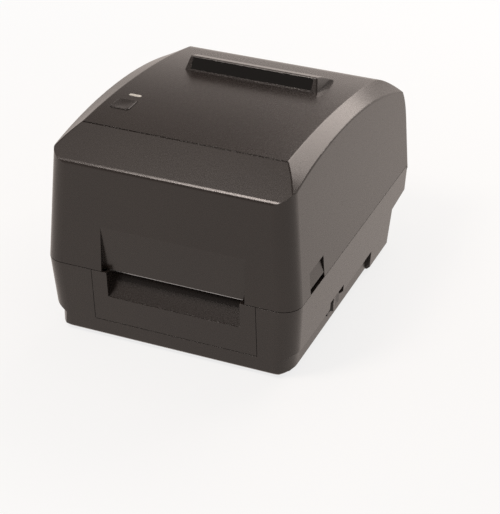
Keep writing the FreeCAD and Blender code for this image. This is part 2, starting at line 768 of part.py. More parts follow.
def tab_window():
    """The opening in the cover's right wall that the release tab fills."""
    return box(tab_pivot_x() + TAB_BARREL_R, WIDTH, back(TAB_FRONT_BACK) - TAB_GAP,
               back(TAB_REAR_BACK) + TAB_GAP, PARTING_Z - WALL, TAB_TOP_Z + TAB_GAP)


def module_bosses():
    """The four posts under the top that the ribbon module hangs from."""
    posts = []
    for side in (-1, 1):
        for place in (MODULE_BOSS_FRONT_BACK, MODULE_BOSS_REAR_BACK):
            posts.append(rod_z(MEDIA_X + side * MODULE_BOSS_X, back(place), MODULE_TOP_Z,
                               cover_top_under(place) + WALL / 2, MODULE_BOSS_R))
    return posts


def control_board_z():
    """The height of the control board's upper face."""
    return cover_top_under(CONTROL_BOARD_BACK) - CONTROL_BOARD_DROP


def control_posts():
    """Two posts under the top that hold the control board."""
    posts = []
    for place in (CONTROL_BOARD_BACK - CONTROL_BOARD_DEPTH / 2 + BOARD_POST_R,
                  CONTROL_BOARD_BACK + CONTROL_BOARD_DEPTH / 2 - BOARD_POST_R):
        posts.append(rod_z(BUTTON_X, back(place), control_board_z(), cover_top_under(place) + WALL / 2,
                           BOARD_POST_R - PORT_PROUD))
    return posts


def top_cover():
    """The upper shell: an arched top with tapering chamfers, a cowl, a chute and a rolled hinge edge."""
    outer = cover_form(0).Solids[0]
    outer = outer.makeFillet(CHAMFER_EDGE_R, chamfer_edges(outer))
    shell = outer.cut(cover_form(WALL))
    shell = shell.common(box(-WIDTH, WIDTH, -DEPTH, DEPTH, PARTING_Z + SEAM, REACH))
    barrel = rod_x(-WIDTH, WIDTH, HINGE_Y, PARTING_Z, HINGE_BARREL_R)
    barrel = barrel.common(drafted_plan(PARTING_Z - 2 * HINGE_BARREL_R, PARTING_Z + 2 * HINGE_BARREL_R, 0))
    extras = [barrel, chute_backing().common(outer), cowl_form(0)] + module_bosses() + control_posts()
    for lug in tab_lugs():
        extras += [lug, mirrored(lug)]
    shell = fused(shell, *extras)

    cuts = [chute_cutter(), cowl_form(WALL), window_block(0, WALL, 2 * WALL), crease_groove(),
            tab_window(), mirrored(tab_window())]
    top = UPPER_CREASE_Z + COWL_HEIGHT
    cuts.append(rounded_block(BUTTON_X, back(BUTTON_BACK), BUTTON_WIDTH + 2 * BUTTON_GAP,
                              BUTTON_DEPTH + 2 * BUTTON_GAP,
                              cover_top_under(BUTTON_BACK) - WALL, top, BUTTON_R + BUTTON_GAP))
    cuts.append(rounded_block(LENS_X, back(LENS_BACK), LENS_WIDTH + 2 * PORT_GAP, LENS_DEPTH + 2 * PORT_GAP,
                              cover_top_under(LENS_BACK) - WALL, top, LENS_DEPTH / 2 + PORT_GAP - 0.01))
    for side in (-1, 1):
        x = side * HINGE_LUG_X
        half = HINGE_LUG_WIDTH / 2 + PANEL_GAP
        cuts.append(box(x - half, x + half, HINGE_Y - 2 * HINGE_BARREL_R, REAR + WALL,
                        PARTING_Z - 2 * HINGE_BARREL_R, PARTING_Z + HINGE_NOTCH_Z))
        reach = HINGE_PIN_LENGTH / 2 + 2 * RUN_GAP
        cuts.append(rod_x(x - reach, x + reach, HINGE_Y, PARTING_Z, HINGE_PIN_R + RUN_GAP))
    return shell.cut(cuts)


def led_lens():
    """The indicator lens: a long rounded light pipe with a lip behind the cover."""
    y = back(LENS_BACK)
    under = cover_top_under(LENS_BACK)
    lens = rounded_block(LENS_X, y, LENS_WIDTH, LENS_DEPTH, under - SENSOR_FLANGE_THICK,
                         TOP_ARCH.height(LENS_BACK) + BUTTON_PROUD / 2, LENS_DEPTH / 2 - 0.01)
    lip_z = min(cover_top_under(LENS_BACK + LENS_DEPTH), under) - PORT_GAP / 2
    lip = rounded_block(LENS_X, y, LENS_WIDTH + 2 * BUTTON_FLANGE, LENS_DEPTH + 2 * BUTTON_FLANGE,
                        under - SENSOR_FLANGE_THICK, lip_z, LENS_DEPTH / 2)
    return fused(lens, lip)


def feed_button():
    """The feed key: a rounded cap, a flange that keeps it in the cover and a stem over its switch."""
    y = back(BUTTON_BACK)
    under = cover_top_under(BUTTON_BACK)
    flange_top = under - PORT_GAP
    flange_low = flange_top - BUTTON_FLANGE_THICK
    cap = rounded_block(BUTTON_X, y, BUTTON_WIDTH, BUTTON_DEPTH, flange_low,
                        TOP_ARCH.height(BUTTON_BACK) + BUTTON_PROUD, BUTTON_R)
    flange = rounded_block(BUTTON_X, y, BUTTON_WIDTH + 2 * BUTTON_FLANGE, BUTTON_DEPTH + 2 * BUTTON_FLANGE,
                           flange_low, flange_top, BUTTON_R)
    stem_low = control_board_z() + BUTTON_TRAVEL + PANEL_GAP
    stem = rod_z(BUTTON_X, y, stem_low, flange_low, BUTTON_STEM_R)
    return fused(cap, flange, stem)


def control_board():
    """The small board under the button, hung from two posts."""
    z = control_board_z()
    y = back(CONTROL_BOARD_BACK)
    return rounded_block(BUTTON_X, y, CONTROL_BOARD_WIDTH, CONTROL_BOARD_DEPTH, z - BOARD_THICK, z, BUTTON_R)


def latch_tab():
    """The right release tab: a sloping finger face, a barrel on its pin, and a leg with a hook."""
    x = tab_pivot_x()
    top_x = cover_half_width(TAB_TOP_Z) - TAB_RECESS
    low_x = cover_half_width(TAB_BOTTOM_Z) - PORT_GAP
    y0 = back(TAB_FRONT_BACK)
    y1 = back(TAB_REAR_BACK)
    face = front_prism([(top_x - TAB_THICK, TAB_TOP_Z), (top_x, TAB_TOP_Z), (low_x, TAB_BOTTOM_Z),
                        (low_x - TAB_THICK, TAB_BOTTOM_Z)], y0, y1)
    arm = front_prism([(x, TAB_TOP_Z - TAB_BARREL_R), (x, TAB_TOP_Z),
                       (top_x - TAB_THICK / 2, TAB_TOP_Z), (top_x - TAB_THICK / 2, TAB_TOP_Z - TAB_BARREL_R)],
                      y0, y1)
    barrel = rod_y(x, y0, y1, TAB_TOP_Z, TAB_BARREL_R)
    middle = (y0 + y1) / 2
    leg_in = x - TAB_BARREL_R
    leg_out = leg_in + TAB_LEG_THICK
    hook_top = TAB_HOOK_Z + TAB_HOOK_HEIGHT
    leg = front_prism([(leg_in, TAB_TOP_Z), (leg_out, TAB_TOP_Z), (leg_out, TAB_HOOK_Z), (leg_in, TAB_HOOK_Z),
                       (leg_in - TAB_HOOK_REACH, hook_top), (leg_in, hook_top)],
                      middle - TAB_LEG_HALF, middle + TAB_LEG_HALF)
    bore = rod_y(x, y0 - PAST, y1 + PAST, TAB_TOP_Z, TAB_PIN_R + RUN_GAP)
    return fused(barrel, face, arm, leg).cut(bore)


def latch_pins():
    """One steel pin through each release tab and its two ears."""
    reach = TAB_GAP + TAB_LUG
    pin = rod_y(tab_pivot_x(), back(TAB_FRONT_BACK) - reach, back(TAB_REAR_BACK) + reach,
                TAB_TOP_Z, TAB_PIN_R)
    return Part.makeCompound([pin, mirrored(pin)])


def latch_keepers():
    """The catch plates under the tray's side decks that the hooks hold on to."""
    middle = back((TAB_FRONT_BACK + TAB_REAR_BACK) / 2)
    edge = tab_pivot_x() - TAB_BARREL_R - TAB_HOOK_REACH + KEEPER_CATCH
    top = SIDE_DECK_Z - TRAY_THICK
    keeper = box(edge - KEEPER_DEPTH, edge, middle - TAB_LEG_HALF, middle + TAB_LEG_HALF,
                 top - KEEPER_THICK, top)
    return Part.makeCompound([keeper, mirrored(keeper)])


def base_half_width(z):
    """The lower case's side walls lean in as they fall."""
    return WIDTH / 2 - (PARTING_Z - z) * BASE_SIDE_TAPER


def base_plan(z, inset):
    """The lower case's plan at one height."""
    half = base_half_width(z) - inset
    front = FRONT + (PARTING_Z - z) * BASE_FRONT_TAPER + inset
    return rounded_rectangle(-half, half, front, REAR - inset, z,
                             FRONT_CORNER_R - inset, REAR_CORNER_R - inset)


def rear_step(grow):
    """The space under the lower case's rear overhang, where the sockets face."""
    beyond = DEPTH + FRONT_CORNER_R
    beyond_z = REAR_STEP_Z + OVERHANG_SLOPE * (beyond - REAR_STEP_BACK)
    wire = side_wire([(REAR_FOOT_BACK, -WALL), (REAR_FOOT_BACK, 2 * FOOT_PROUD),
                      (REAR_STEP_BACK, REAR_STEP_Z), (beyond, beyond_z), (beyond, -WALL)], -WIDTH)
    if grow > 0:
        wire = wire.makeOffset2D(grow)
    return Part.Face(wire).extrude(V(2 * WIDTH, 0, 0))


def skirt_plan(z, inset):
    """The narrower plan below the undercut, at one height."""
    half = UNDERCUT_X - inset
    return rounded_rectangle(-half, half, FRONT - SKIRT_AHEAD + inset, REAR, z,
                             SKIRT_CORNER_R - inset, REAR_CORNER_R)


def side_undercuts(grow):
    """The step round both lower sides, and the taller bay for the power switch on the right."""
    low = -WALL
    top = UNDERCUT_Z + grow
    room = box(-WIDTH, WIDTH, FRONT - FRONT_CORNER_R, back(UNDERCUT_REAR_BACK) + grow, low, top)
    floor = FOOT_PROUD + grow
    skirt = Part.makeLoft([skirt_plan(floor - PAST, grow + BOTTOM_EDGE + PAST),
                           skirt_plan(floor + BOTTOM_EDGE, grow), skirt_plan(top - UNDERCUT_BEVEL, grow),
                           skirt_plan(top + PAST, grow - UNDERCUT_BEVEL - PAST)], True, True)
    half = SWITCH_BAY_HALF + grow
    bay = box(UNDERCUT_X - grow, WIDTH, back(SWITCH_BACK) - half, back(SWITCH_BACK) + half,
              low, SWITCH_BAY_TOP_Z + grow)
    return [room.cut(skirt), bay]


def base_form(inset):
    """The lower case's outer form, or with an inset the space inside it, open at the top."""
    top = PARTING_Z if inset == 0 else PARTING_Z + WALL
    low = FOOT_PROUD + inset
    levels = [base_plan(low, inset + BOTTOM_EDGE), base_plan(low + BOTTOM_EDGE, inset), base_plan(top, inset)]
    form = Part.makeLoft(levels, True, True)
    return form.cut([rear_step(inset)] + side_undercuts(inset))


def socket_frame():
    """The middle of the slanted rear wall and the turn that lays a piece flat on it."""
    run = REAR_STEP_BACK - REAR_FOOT_BACK
    rise = REAR_STEP_Z - 2 * FOOT_PROUD
    y = back(REAR_FOOT_BACK + run / 2)
    return y, 2 * FOOT_PROUD + rise / 2, -math.atan2(run, rise) - math.pi / 2


def on_socket_wall(shape):
    """Lay a piece drawn in plan, with its outside up, on the slanted rear wall."""
    y, z, turn = socket_frame()
    return tilted(shape, turn, y, z)


def socket_opening(name, margin):
    """The opening in the slanted rear wall for one socket."""
    size = SOCKETS[name]
    half = size["width"] / 2 + margin
    tall = size["height"] / 2 + margin
    return on_socket_wall(box(size["x"] - half, size["x"] + half, -tall, tall, -2 * WALL, 2 * WALL))


def socket_shell(name):
    """A square socket: a shell that stands on the port board, hollow towards the rear."""
    size = SOCKETS[name]
    half = size["width"] / 2
    tall = size["height"] / 2
    block = box(size["x"] - half, size["x"] + half, -tall, tall, -PORT_BOARD_SET, PORT_PROUD)
    wide = half - SOCKET_SHELL
    high = tall - SOCKET_SHELL
    hollow = box(size["x"] - wide, size["x"] + wide, -high, high, -PORT_BOARD_SET / 2, 2 * WALL)
    tongue = box(size["x"] - half / 2, size["x"] + half / 2, -tall / 4, tall / 4,
                 -PORT_BOARD_SET / 2, -PORT_PROUD)
    return on_socket_wall(fused(block.cut(hollow), tongue))


def dc_inlet():
    """The round power inlet: a square body with a barrel socket and its centre pin."""
    size = SOCKETS["dc_inlet"]
    half = size["width"] / 2
    tall = size["height"] / 2
    block = box(size["x"] - half, size["x"] + half, -tall, tall, -PORT_BOARD_SET, PORT_PROUD)
    bore = rod_z(size["x"], 0, -PORT_BOARD_SET / 2, 2 * WALL, tall - INLET_RIM)
    pin = rod_z(size["x"], 0, -PORT_BOARD_SET / 2 - PAST, -PORT_PROUD, INLET_PIN_R)
    return on_socket_wall(fused(block.cut(bore), pin))


def port_board():
    """The small board that carries the sockets, parallel to the slanted rear wall."""
    half = PORT_BOARD_LENGTH / 2
    tall = PORT_BOARD_HEIGHT / 2
    return on_socket_wall(box(PORT_BOARD_X - half, PORT_BOARD_X + half, -tall, tall,
                              -PORT_BOARD_SET - BOARD_THICK, -PORT_BOARD_SET))


def port_posts():
    """Posts on the slanted rear wall that the port board is screwed to."""
    posts = []
    for side in (-1, 1):
        x = PORT_BOARD_X + side * (PORT_BOARD_LENGTH / 2 - BOARD_POST_R)
        posts.append(on_socket_wall(rod_z(x, 0, -PORT_BOARD_SET, -WALL / 2, BOARD_POST_R)))
    return posts


def case_bosses():
    """Posts from the floor to the media tray, each with its screw hole."""
    posts = []
    for side, places in BOSS_BACKS.items():
        for place in places:
            posts.append(rod_z(side * BOSS_X, back(place), FLOOR_TOP_Z - WALL / 2,
                               SIDE_DECK_Z - TRAY_THICK, BOSS_R))
    return posts


def boss_holes():
    """The screw holes up into the posts, with room for the heads under the floor."""
    holes = []
    for side, places in BOSS_BACKS.items():
        for place in places:
            holes.append(rod_z(side * BOSS_X, back(place), 0, SCREW_HEAD_Z, SCREW_HEAD_R + PORT_GAP))
            holes.append(rod_z(side * BOSS_X, back(place), 0, SCREW_HEAD_Z + SCREW_LENGTH, SCREW_R + RUN_GAP))
    return holes


def case_screws():
    """The screws that hold the tray and the case together, from below."""
    screws = []
    for side, places in BOSS_BACKS.items():
        for place in places:
            head = rod_z(side * BOSS_X, back(place), SCREW_HEAD_Z - 2 * SCREW_R, SCREW_HEAD_Z, SCREW_HEAD_R)
            tip = SCREW_HEAD_Z + SCREW_LENGTH - SCREW_TIP_GAP
            shank = rod_z(side * BOSS_X, back(place), SCREW_HEAD_Z, tip, SCREW_R)
            screws.append(fused(head, shank))
    return Part.makeCompound(screws)


def foot_places():
    """The middles of the four rubber feet."""
    return [(side * FOOT_X, back(place)) for side in (-1, 1) for place in (FOOT_FRONT_BACK, FOOT_REAR_BACK)]


def rubber_feet():
    """Four tapered rubber feet, let into the floor."""
    feet = []
    for x, y in foot_places():
        feet.append(Part.makeCone(FOOT_R - FOOT_TAPER, FOOT_R, FOOT_PROUD + FOOT_RECESS, V(x, y, 0)))
    return Part.makeCompound(feet)


def main_board_posts():
    """Four posts on the floor under the main board."""
    posts = []
    for sx in (-1, 1):
        for sy in (-1, 1):
            x = MAIN_BOARD_X + sx * (MAIN_BOARD_LENGTH / 2 - BOARD_POST_R)
            y = back(MAIN_BOARD_BACK) + sy * (MAIN_BOARD_DEPTH / 2 - BOARD_POST_R)
            posts.append(rod_z(x, y, FLOOR_TOP_Z - WALL / 2, MAIN_BOARD_Z, BOARD_POST_R))
    return posts


def main_board():
    """The main board with its largest parts: a processor, a driver and three capacitors."""
    half = MAIN_BOARD_LENGTH / 2
    deep = MAIN_BOARD_DEPTH / 2
    top = MAIN_BOARD_Z + BOARD_THICK
    y = back(MAIN_BOARD_BACK)
    board = box(MAIN_BOARD_X - half, MAIN_BOARD_X + half, y - deep, y + deep, MAIN_BOARD_Z, top)
    left = MAIN_BOARD_X - half / 2
    right = MAIN_BOARD_X + half / 3
    front = y - deep / 2
    chip_top = top + CHIP_HEIGHT
    chips = [box(left, left + PROCESSOR_SIZE, y - PROCESSOR_SIZE / 2, y + PROCESSOR_SIZE / 2, top, chip_top),
             box(right, right + DRIVER_WIDTH, front, front + DRIVER_DEPTH, top, chip_top)]
    for k in range(3):
        chips.append(rod_z(right + CAPACITOR_PITCH * k, y + deep / 2, top, top + CAPACITOR_HEIGHT,
                           CAPACITOR_R))
    return fused(board, *chips)


def hinge_lugs():
    """Two lugs on the lower case's rear wall that hold the hinge pins."""
    lugs = []
    for side in (-1, 1):
        x0 = side * HINGE_LUG_X - HINGE_LUG_WIDTH / 2
        x1 = x0 + HINGE_LUG_WIDTH
        eye = rod_x(x0, x1, HINGE_Y, PARTING_Z, HINGE_LUG_R)
        stem = box(x0, x1, HINGE_Y - HINGE_LUG_R, HINGE_Y + HINGE_LUG_R,
                   PARTING_Z - 3 * HINGE_BARREL_R, PARTING_Z)
        lugs.append(fused(eye, stem))
    return lugs


def hinge_pins():
    """The two steel pins that the cover turns on."""
    reach = HINGE_PIN_LENGTH / 2
    pins = [rod_x(side * HINGE_LUG_X - reach, side * HINGE_LUG_X + reach, HINGE_Y, PARTING_Z, HINGE_PIN_R)
            for side in (-1, 1)]
    return Part.makeCompound(pins)


def panel_opening(margin):
    """The opening in the lower case's front wall for the exit panel."""
    return box(MEDIA_X - PANEL_HALF_WIDTH - margin, MEDIA_X + PANEL_HALF_WIDTH + margin, FRONT - WALL,
               back(FRONT_CORNER_R), PANEL_BOTTOM_Z - margin, PARTING_Z + WALL)


def lower_case():
    """The lower shell: tapered walls, stepped sides, a rear overhang, posts, lugs and its openings."""
    shell = base_form(0).cut(base_form(WALL))
    hinge_ledge = PARTING_Z - HINGE_BARREL_R - HINGE_GAP
    shell = shell.cut(box(-WIDTH, WIDTH, HINGE_Y - HINGE_BARREL_R - HINGE_GAP, REAR + WALL,
                          hinge_ledge, REACH))
    pinion_boss = rod_z(MEDIA_X, back(ROLL_BACK), FLOOR_TOP_Z - WALL / 2, RACK_Z - PORT_GAP, 2 * STUD_R)
    shell = fused(shell, *(case_bosses() + main_board_posts() + hinge_lugs() + port_posts() + [pinion_boss]))
    cuts = boss_holes() + [panel_opening(0)]
    cuts.append(box(MEDIA_X - SLOT_HALF_WIDTH, MEDIA_X + SLOT_HALF_WIDTH, REAR - 2 * WALL, REAR + WALL,
                    REAR_SLOT_Z, REAR_SLOT_Z + REAR_SLOT_HEIGHT))
    for name in SOCKETS:
        cuts.append(socket_opening(name, PORT_GAP))
    y = back(SWITCH_BACK)
    cuts.append(box(UNDERCUT_X - 2 * WALL, UNDERCUT_X + WALL, y - SWITCH_BODY_HALF - PORT_GAP,
                    y + SWITCH_BODY_HALF + PORT_GAP, SWITCH_Z - SWITCH_BODY_HALF_HEIGHT - PORT_GAP,
                    SWITCH_Z + SWITCH_BODY_HALF_HEIGHT + PORT_GAP))
    for x, foot_y in foot_places():
        cuts.append(rod_z(x, foot_y, 0, FOOT_PROUD + FOOT_RECESS, FOOT_R + RUN_GAP))
    for side in (-1, 1):
        reach = HINGE_PIN_LENGTH / 2
        cuts.append(rod_x(side * HINGE_LUG_X - reach, side * HINGE_LUG_X + reach, HINGE_Y, PARTING_Z,
                          HINGE_PIN_R + RUN_GAP))
    return shell.cut(cuts)


def front_exit_panel():
    """The removable panel in the front wall, with the label slot and the ramp inside it."""
    skin = base_form(0).cut(base_form(WALL)).common(panel_opening(-PANEL_GAP))
    slot_left = MEDIA_X - SLOT_HALF_WIDTH
    slot_right = MEDIA_X + SLOT_HALF_WIDTH
    front_at_lip = (PARTING_Z - SLOT_LIP_Z) * BASE_FRONT_TAPER
    lip = (front_at_lip + RAMP_THICK / 2, SLOT_LIP_Z)
    run = RAMP_TOP_BACK - lip[0]
    rise = RAMP_TOP_Z - SLOT_LIP_Z
    thick = RAMP_THICK * math.hypot(run, rise) / run
    skin = skin.cut(box(slot_left, slot_right, FRONT - WALL, back(FRONT_CORNER_R),
                        SLOT_LIP_Z, PARTING_Z + WALL))
    ramp = side_prism([lip, (RAMP_TOP_BACK, RAMP_TOP_Z), (RAMP_TOP_BACK, RAMP_TOP_Z - thick),
                       (lip[0], SLOT_LIP_Z - thick)], slot_left - RAMP_THICK, slot_right + RAMP_THICK)
    cheek = [(lip[0], SLOT_LIP_Z - thick), (lip[0] - RAMP_THICK / 2, PARTING_Z - PANEL_GAP),
             (RAMP_TOP_BACK, PARTING_Z - PANEL_GAP), (RAMP_TOP_BACK, RAMP_TOP_Z - thick)]
    cheeks = [side_prism(cheek, slot_left - RAMP_THICK, slot_left),
              side_prism(cheek, slot_right, slot_right + RAMP_THICK)]
    return fused(skin, ramp, *cheeks)


def tear_bar():
    """The serrated steel edge that labels are torn on."""
    top = PLATEN_Z + PLATEN_R
    low = RAMP_TOP_Z - 2 * RAMP_THICK
    front = RAMP_TOP_BACK + PORT_GAP
    left = BAY_LEFT - BAY_WALL
    right = BAY_RIGHT + BAY_WALL
    blade = side_prism([(front, low), (front, top), (front + RAMP_THICK, top - RAMP_THICK),
                        (front + RAMP_THICK, low)], left, right)
    teeth = int((right - left) / TEAR_PITCH)
    first = (left + right - teeth * TEAR_PITCH) / 2
    comb = [(left, low), (left, top - TEAR_TOOTH)]
    for k in range(teeth):
        x = first + k * TEAR_PITCH
        comb += [(x, top - TEAR_TOOTH), (x + TEAR_PITCH / 2, top)]
    comb += [(first + teeth * TEAR_PITCH, top - TEAR_TOOTH), (right, top - TEAR_TOOTH), (right, low)]
    return blade.common(front_prism(comb, back(front - PAST), back(front + RAMP_THICK + PAST)))


def gear_profile(teeth, turn):
    """The outline of a spur gear about the origin, with one tooth centred on a given direction."""
    pitch_r = MODULE * teeth / 2
    base_r = pitch_r * math.cos(PRESSURE_ANGLE)
    tip_r = pitch_r + ADDENDUM * MODULE
    root_r = pitch_r - DEDENDUM * MODULE
    half_tooth = math.pi / (2 * teeth) - BACKLASH / (4 * pitch_r)

    def involute(radius):
        """The polar angle that the involute has turned through at a radius."""
        roll = math.sqrt(max(radius / base_r, 1.0) ** 2 - 1)
        return roll - math.atan(roll)

    flank = []
    for radius in (root_r, max(base_r, root_r + RUN_GAP), pitch_r, tip_r):
        flank.append((radius, half_tooth + involute(pitch_r) - involute(radius)))
    points = []
    for k in range(teeth):
        centre = turn + 2 * math.pi * k / teeth
        for radius, angle in flank:
            points.append((radius, centre - angle))
        for radius, angle in reversed(flank):
            points.append((radius, centre + angle))
    return [(r * math.cos(a), r * math.sin(a)) for r, a in points]


def side_gear(teeth, distance, z, turn, x0, width, bore):
    """A spur gear that turns about X."""
    outline = [(distance + u, z + v) for u, v in gear_profile(teeth, turn)]
    gear = side_prism(outline, x0, x0 + width)
    return gear.cut(rod_x(x0 - PAST, x0 + width + PAST, back(distance), z, bore))


def meshing_turn(turn, teeth, direction, other_teeth):
    """The direction of a tooth on a second gear so that it meshes with the first."""
    pitch_r = MODULE * teeth / 2
    other_r = MODULE * other_teeth / 2
    along = pitch_r * (turn - direction) + math.pi * MODULE / 2
    return direction + math.pi - along / other_r


def platen_shaft():
    """The steel shaft through the platen, from the gear to the right bracket."""
    right_end = BRACKET_X + PLATE_THICK + SHAFT_TAIL
    return rod_x(GEAR_X - SHAFT_END, right_end, back(PLATEN_BACK), PLATEN_Z, PLATEN_SHAFT_R)


def platen_roller():
    """The rubber sleeve on the platen shaft."""
    x0 = MEDIA_X - PLATEN_HALF_LENGTH
    x1 = MEDIA_X + PLATEN_HALF_LENGTH
    sleeve = rod_x(x0, x1, back(PLATEN_BACK), PLATEN_Z, PLATEN_R)
    return sleeve.cut(rod_x(x0 - PAST, x1 + PAST, back(PLATEN_BACK), PLATEN_Z, PLATEN_SHAFT_R))


def platen_gear():
    """The gear on the left end of the platen shaft."""
    return side_gear(PLATEN_TEETH, PLATEN_BACK, PLATEN_Z, IDLER_ANGLE, GEAR_X, GEAR_WIDTH, PLATEN_SHAFT_R)


def idler_turn():
    """How the idler stands so that it meshes with the platen gear."""
    return meshing_turn(IDLER_ANGLE, PLATEN_TEETH, IDLER_ANGLE, IDLER_TEETH)


def idler_gear():
    """The gear between the platen and the motor, lightened by a web on each side."""
    gear = side_gear(IDLER_TEETH, IDLER_BACK, IDLER_Z, idler_turn(), GEAR_X, GEAR_WIDTH, STUD_R + RUN_GAP)
    rim = MODULE * IDLER_TEETH / 2 - 4 * MODULE
    for x0 in (GEAR_X - PAST, GEAR_X + GEAR_WIDTH - GEAR_WEB_DEPTH):
        x1 = x0 + PAST + GEAR_WEB_DEPTH
        ring = rod_x(x0, x1, back(IDLER_BACK), IDLER_Z, rim)
        ring = ring.cut(rod_x(x0 - PAST, x1 + PAST, back(IDLER_BACK), IDLER_Z, 2 * STUD_R))
        gear = gear.cut(ring)
    return gear


def idler_stud():
    """The steel stud that the idler turns on, riveted into the gear plate, with a cap at its end."""
    y = back(IDLER_BACK)
    stud = rod_x(GEAR_X - PORT_GAP, GEAR_PLATE_X, y, IDLER_Z, STUD_R)
    collar = rod_x(GEAR_X + GEAR_WIDTH + PORT_GAP, GEAR_PLATE_X, y, IDLER_Z, STUD_R + STUD_COLLAR)
    cap_x = GEAR_X - PORT_GAP
    cap = rod_x(cap_x - STUD_CAP_THICK, cap_x, y, IDLER_Z, STUD_R + STUD_COLLAR)
    return fused(stud, collar, cap)


def motor_pinion():
    """The motor's shaft and the pinion on it."""
    turn = meshing_turn(idler_turn(), IDLER_TEETH, PINION_ANGLE, PINION_TEETH)
    gear = side_gear(PINION_TEETH, PINION_BACK, PINION_Z, turn, GEAR_X, GEAR_WIDTH, MOTOR_SHAFT_R / 2)
    inner_end = GEAR_PLATE_X + PLATE_THICK + MOTOR_LENGTH / 2
    shaft = rod_x(GEAR_X - SHAFT_END, inner_end, back(PINION_BACK), PINION_Z, MOTOR_SHAFT_R)
    return fused(gear, shaft)


def motor_outline(inset):
    """The stepper's square outline with its corners cut off."""
    half = MOTOR_SIZE / 2 - inset
    cut = half - MOTOR_CHAMFER
    outline = [(-half, -cut), (-cut, -half), (cut, -half), (half, -cut),
               (half, cut), (cut, half), (-cut, half), (-half, cut)]
    return [(PINION_BACK + u, PINION_Z + v) for u, v in outline]


def stepper_motor():
    """The stepper: two end caps round a narrower stack of laminations, and a bore for its shaft."""
    x0 = GEAR_PLATE_X + PLATE_THICK
    cap = MOTOR_LENGTH / 4
    caps = [side_prism(motor_outline(0), x, x + cap) for x in (x0, x0 + MOTOR_LENGTH - cap)]
    stack = side_prism(motor_outline(MOTOR_WAIST), x0 + cap, x0 + MOTOR_LENGTH - cap)
    bore = rod_x(x0 - PAST, x0 + MOTOR_LENGTH / 2 + PAST, back(PINION_BACK), PINION_Z,
                 MOTOR_SHAFT_R + RUN_GAP)
    return fused(stack, *caps).cut(bore)


def side_plate(x0, outline, holes):
    """A flat plate in the side view with round holes: each hole is a place and a radius."""
    plate = side_prism(outline, x0, x0 + PLATE_THICK)
    cuts = [rod_x(x0 - PAST, x0 + PLATE_THICK + PAST, back(d), z, r) for d, z, r in holes]
    return plate.cut(cuts)


def gear_plate():
    """The left steel plate: it holds the platen's left bush, the idler stud and the motor."""
    far = PINION_BACK + MOTOR_SIZE / 2
    front = RAMP_TOP_BACK + PORT_GAP + RAMP_THICK + PORT_GAP
    outline = [(front, FLOOR_TOP_Z), (far, FLOOR_TOP_Z), (far, PINION_Z + MOTOR_SIZE / 2),
               (LEFT_DECK_FRONT_BACK, SIDE_DECK_Z - TRAY_THICK - PORT_GAP),
               (PLATEN_BACK + BUSH_FLANGE_R, PLATEN_Z + BUSH_R + PLATE_EDGE),
               (front, PLATEN_Z + PLATE_FRONT_RISE)]
    holes = [(PLATEN_BACK, PLATEN_Z, BUSH_R), (PINION_BACK, PINION_Z, MOTOR_SHAFT_R + SHAFT_END)]
    return side_plate(GEAR_PLATE_X, outline, holes)


def platen_bracket():
    """The right steel bracket that holds the platen's right bush."""
    front = RAMP_TOP_BACK + PORT_GAP + RAMP_THICK + PORT_GAP
    top = SIDE_DECK_Z - TRAY_THICK
    outline = [(front, FLOOR_TOP_Z), (2 * PLATEN_BACK, FLOOR_TOP_Z), (2 * PLATEN_BACK, PLATEN_Z - 2 * BUSH_R),
               (PLATEN_BACK + 2 * BUSH_R, top), (front, top)]
    return side_plate(BRACKET_X, outline, [(PLATEN_BACK, PLATEN_Z, BUSH_R)])


def platen_bushes():
    """Two flanged bushes for the platen shaft, one in each plate."""
    y = back(PLATEN_BACK)
    bushes = []
    left = (GEAR_PLATE_X, GEAR_PLATE_X + PLATE_THICK)
    right = (BRACKET_X, BRACKET_X - BUSH_FLANGE_THICK)
    for x0, flange_x in (left, right):
        ring = fused(rod_x(x0, x0 + PLATE_THICK, y, PLATEN_Z, BUSH_R),
                     rod_x(flange_x, flange_x + BUSH_FLANGE_THICK, y, PLATEN_Z, BUSH_FLANGE_R))
        reach = PLATE_THICK + BUSH_FLANGE_THICK + PAST
        bushes.append(ring.cut(rod_x(x0 - reach, x0 + reach, y, PLATEN_Z, PLATEN_SHAFT_R + RUN_GAP)))
    return Part.makeCompound(bushes)


def well_back(radius, z, side):
    """Where an arc about the roll's axis reaches a height, in front of the axis or behind it."""
    return ROLL_BACK + side * math.sqrt(radius ** 2 - (ROLL_Z - z) ** 2)


def deck_height(distance):
    """The height of the sloping deck between the platen and the well."""
    share = (distance - DECK_FRONT_BACK) / (WELL_FRONT_BACK - DECK_FRONT_BACK)
    return DECK_FRONT_Z + share * (DECK_REAR_Z - DECK_FRONT_Z)


def tray_underside():
    """The lower outline of the tray's sheet, from the rear ledge to the front of the deck."""
    outer = WELL_R + TRAY_THICK
    low = REAR_LEDGE_Z - TRAY_THICK
    front_low = DECK_REAR_Z - TRAY_THICK
    return [(well_back(outer, low, 1), low),
            ((ROLL_BACK, ROLL_Z - outer), (well_back(outer, front_low, -1), front_low)),
            (DECK_FRONT_BACK, DECK_FRONT_Z - TRAY_THICK)]


def tray_sheet():
    """The tray's floor: a sloping deck, a round well for the roll and a ledge to the rear slot."""
    top = [(DECK_FRONT_BACK, DECK_FRONT_Z), (WELL_FRONT_BACK, DECK_REAR_Z),
           ((ROLL_BACK, ROLL_Z - WELL_R), (well_back(WELL_R, REAR_LEDGE_Z, 1), REAR_LEDGE_Z)),
           (REAR_LEDGE_BACK, REAR_LEDGE_Z), (REAR_LEDGE_BACK, REAR_LEDGE_Z - TRAY_THICK)]
    return side_prism(top + tray_underside(), BAY_LEFT, BAY_RIGHT)


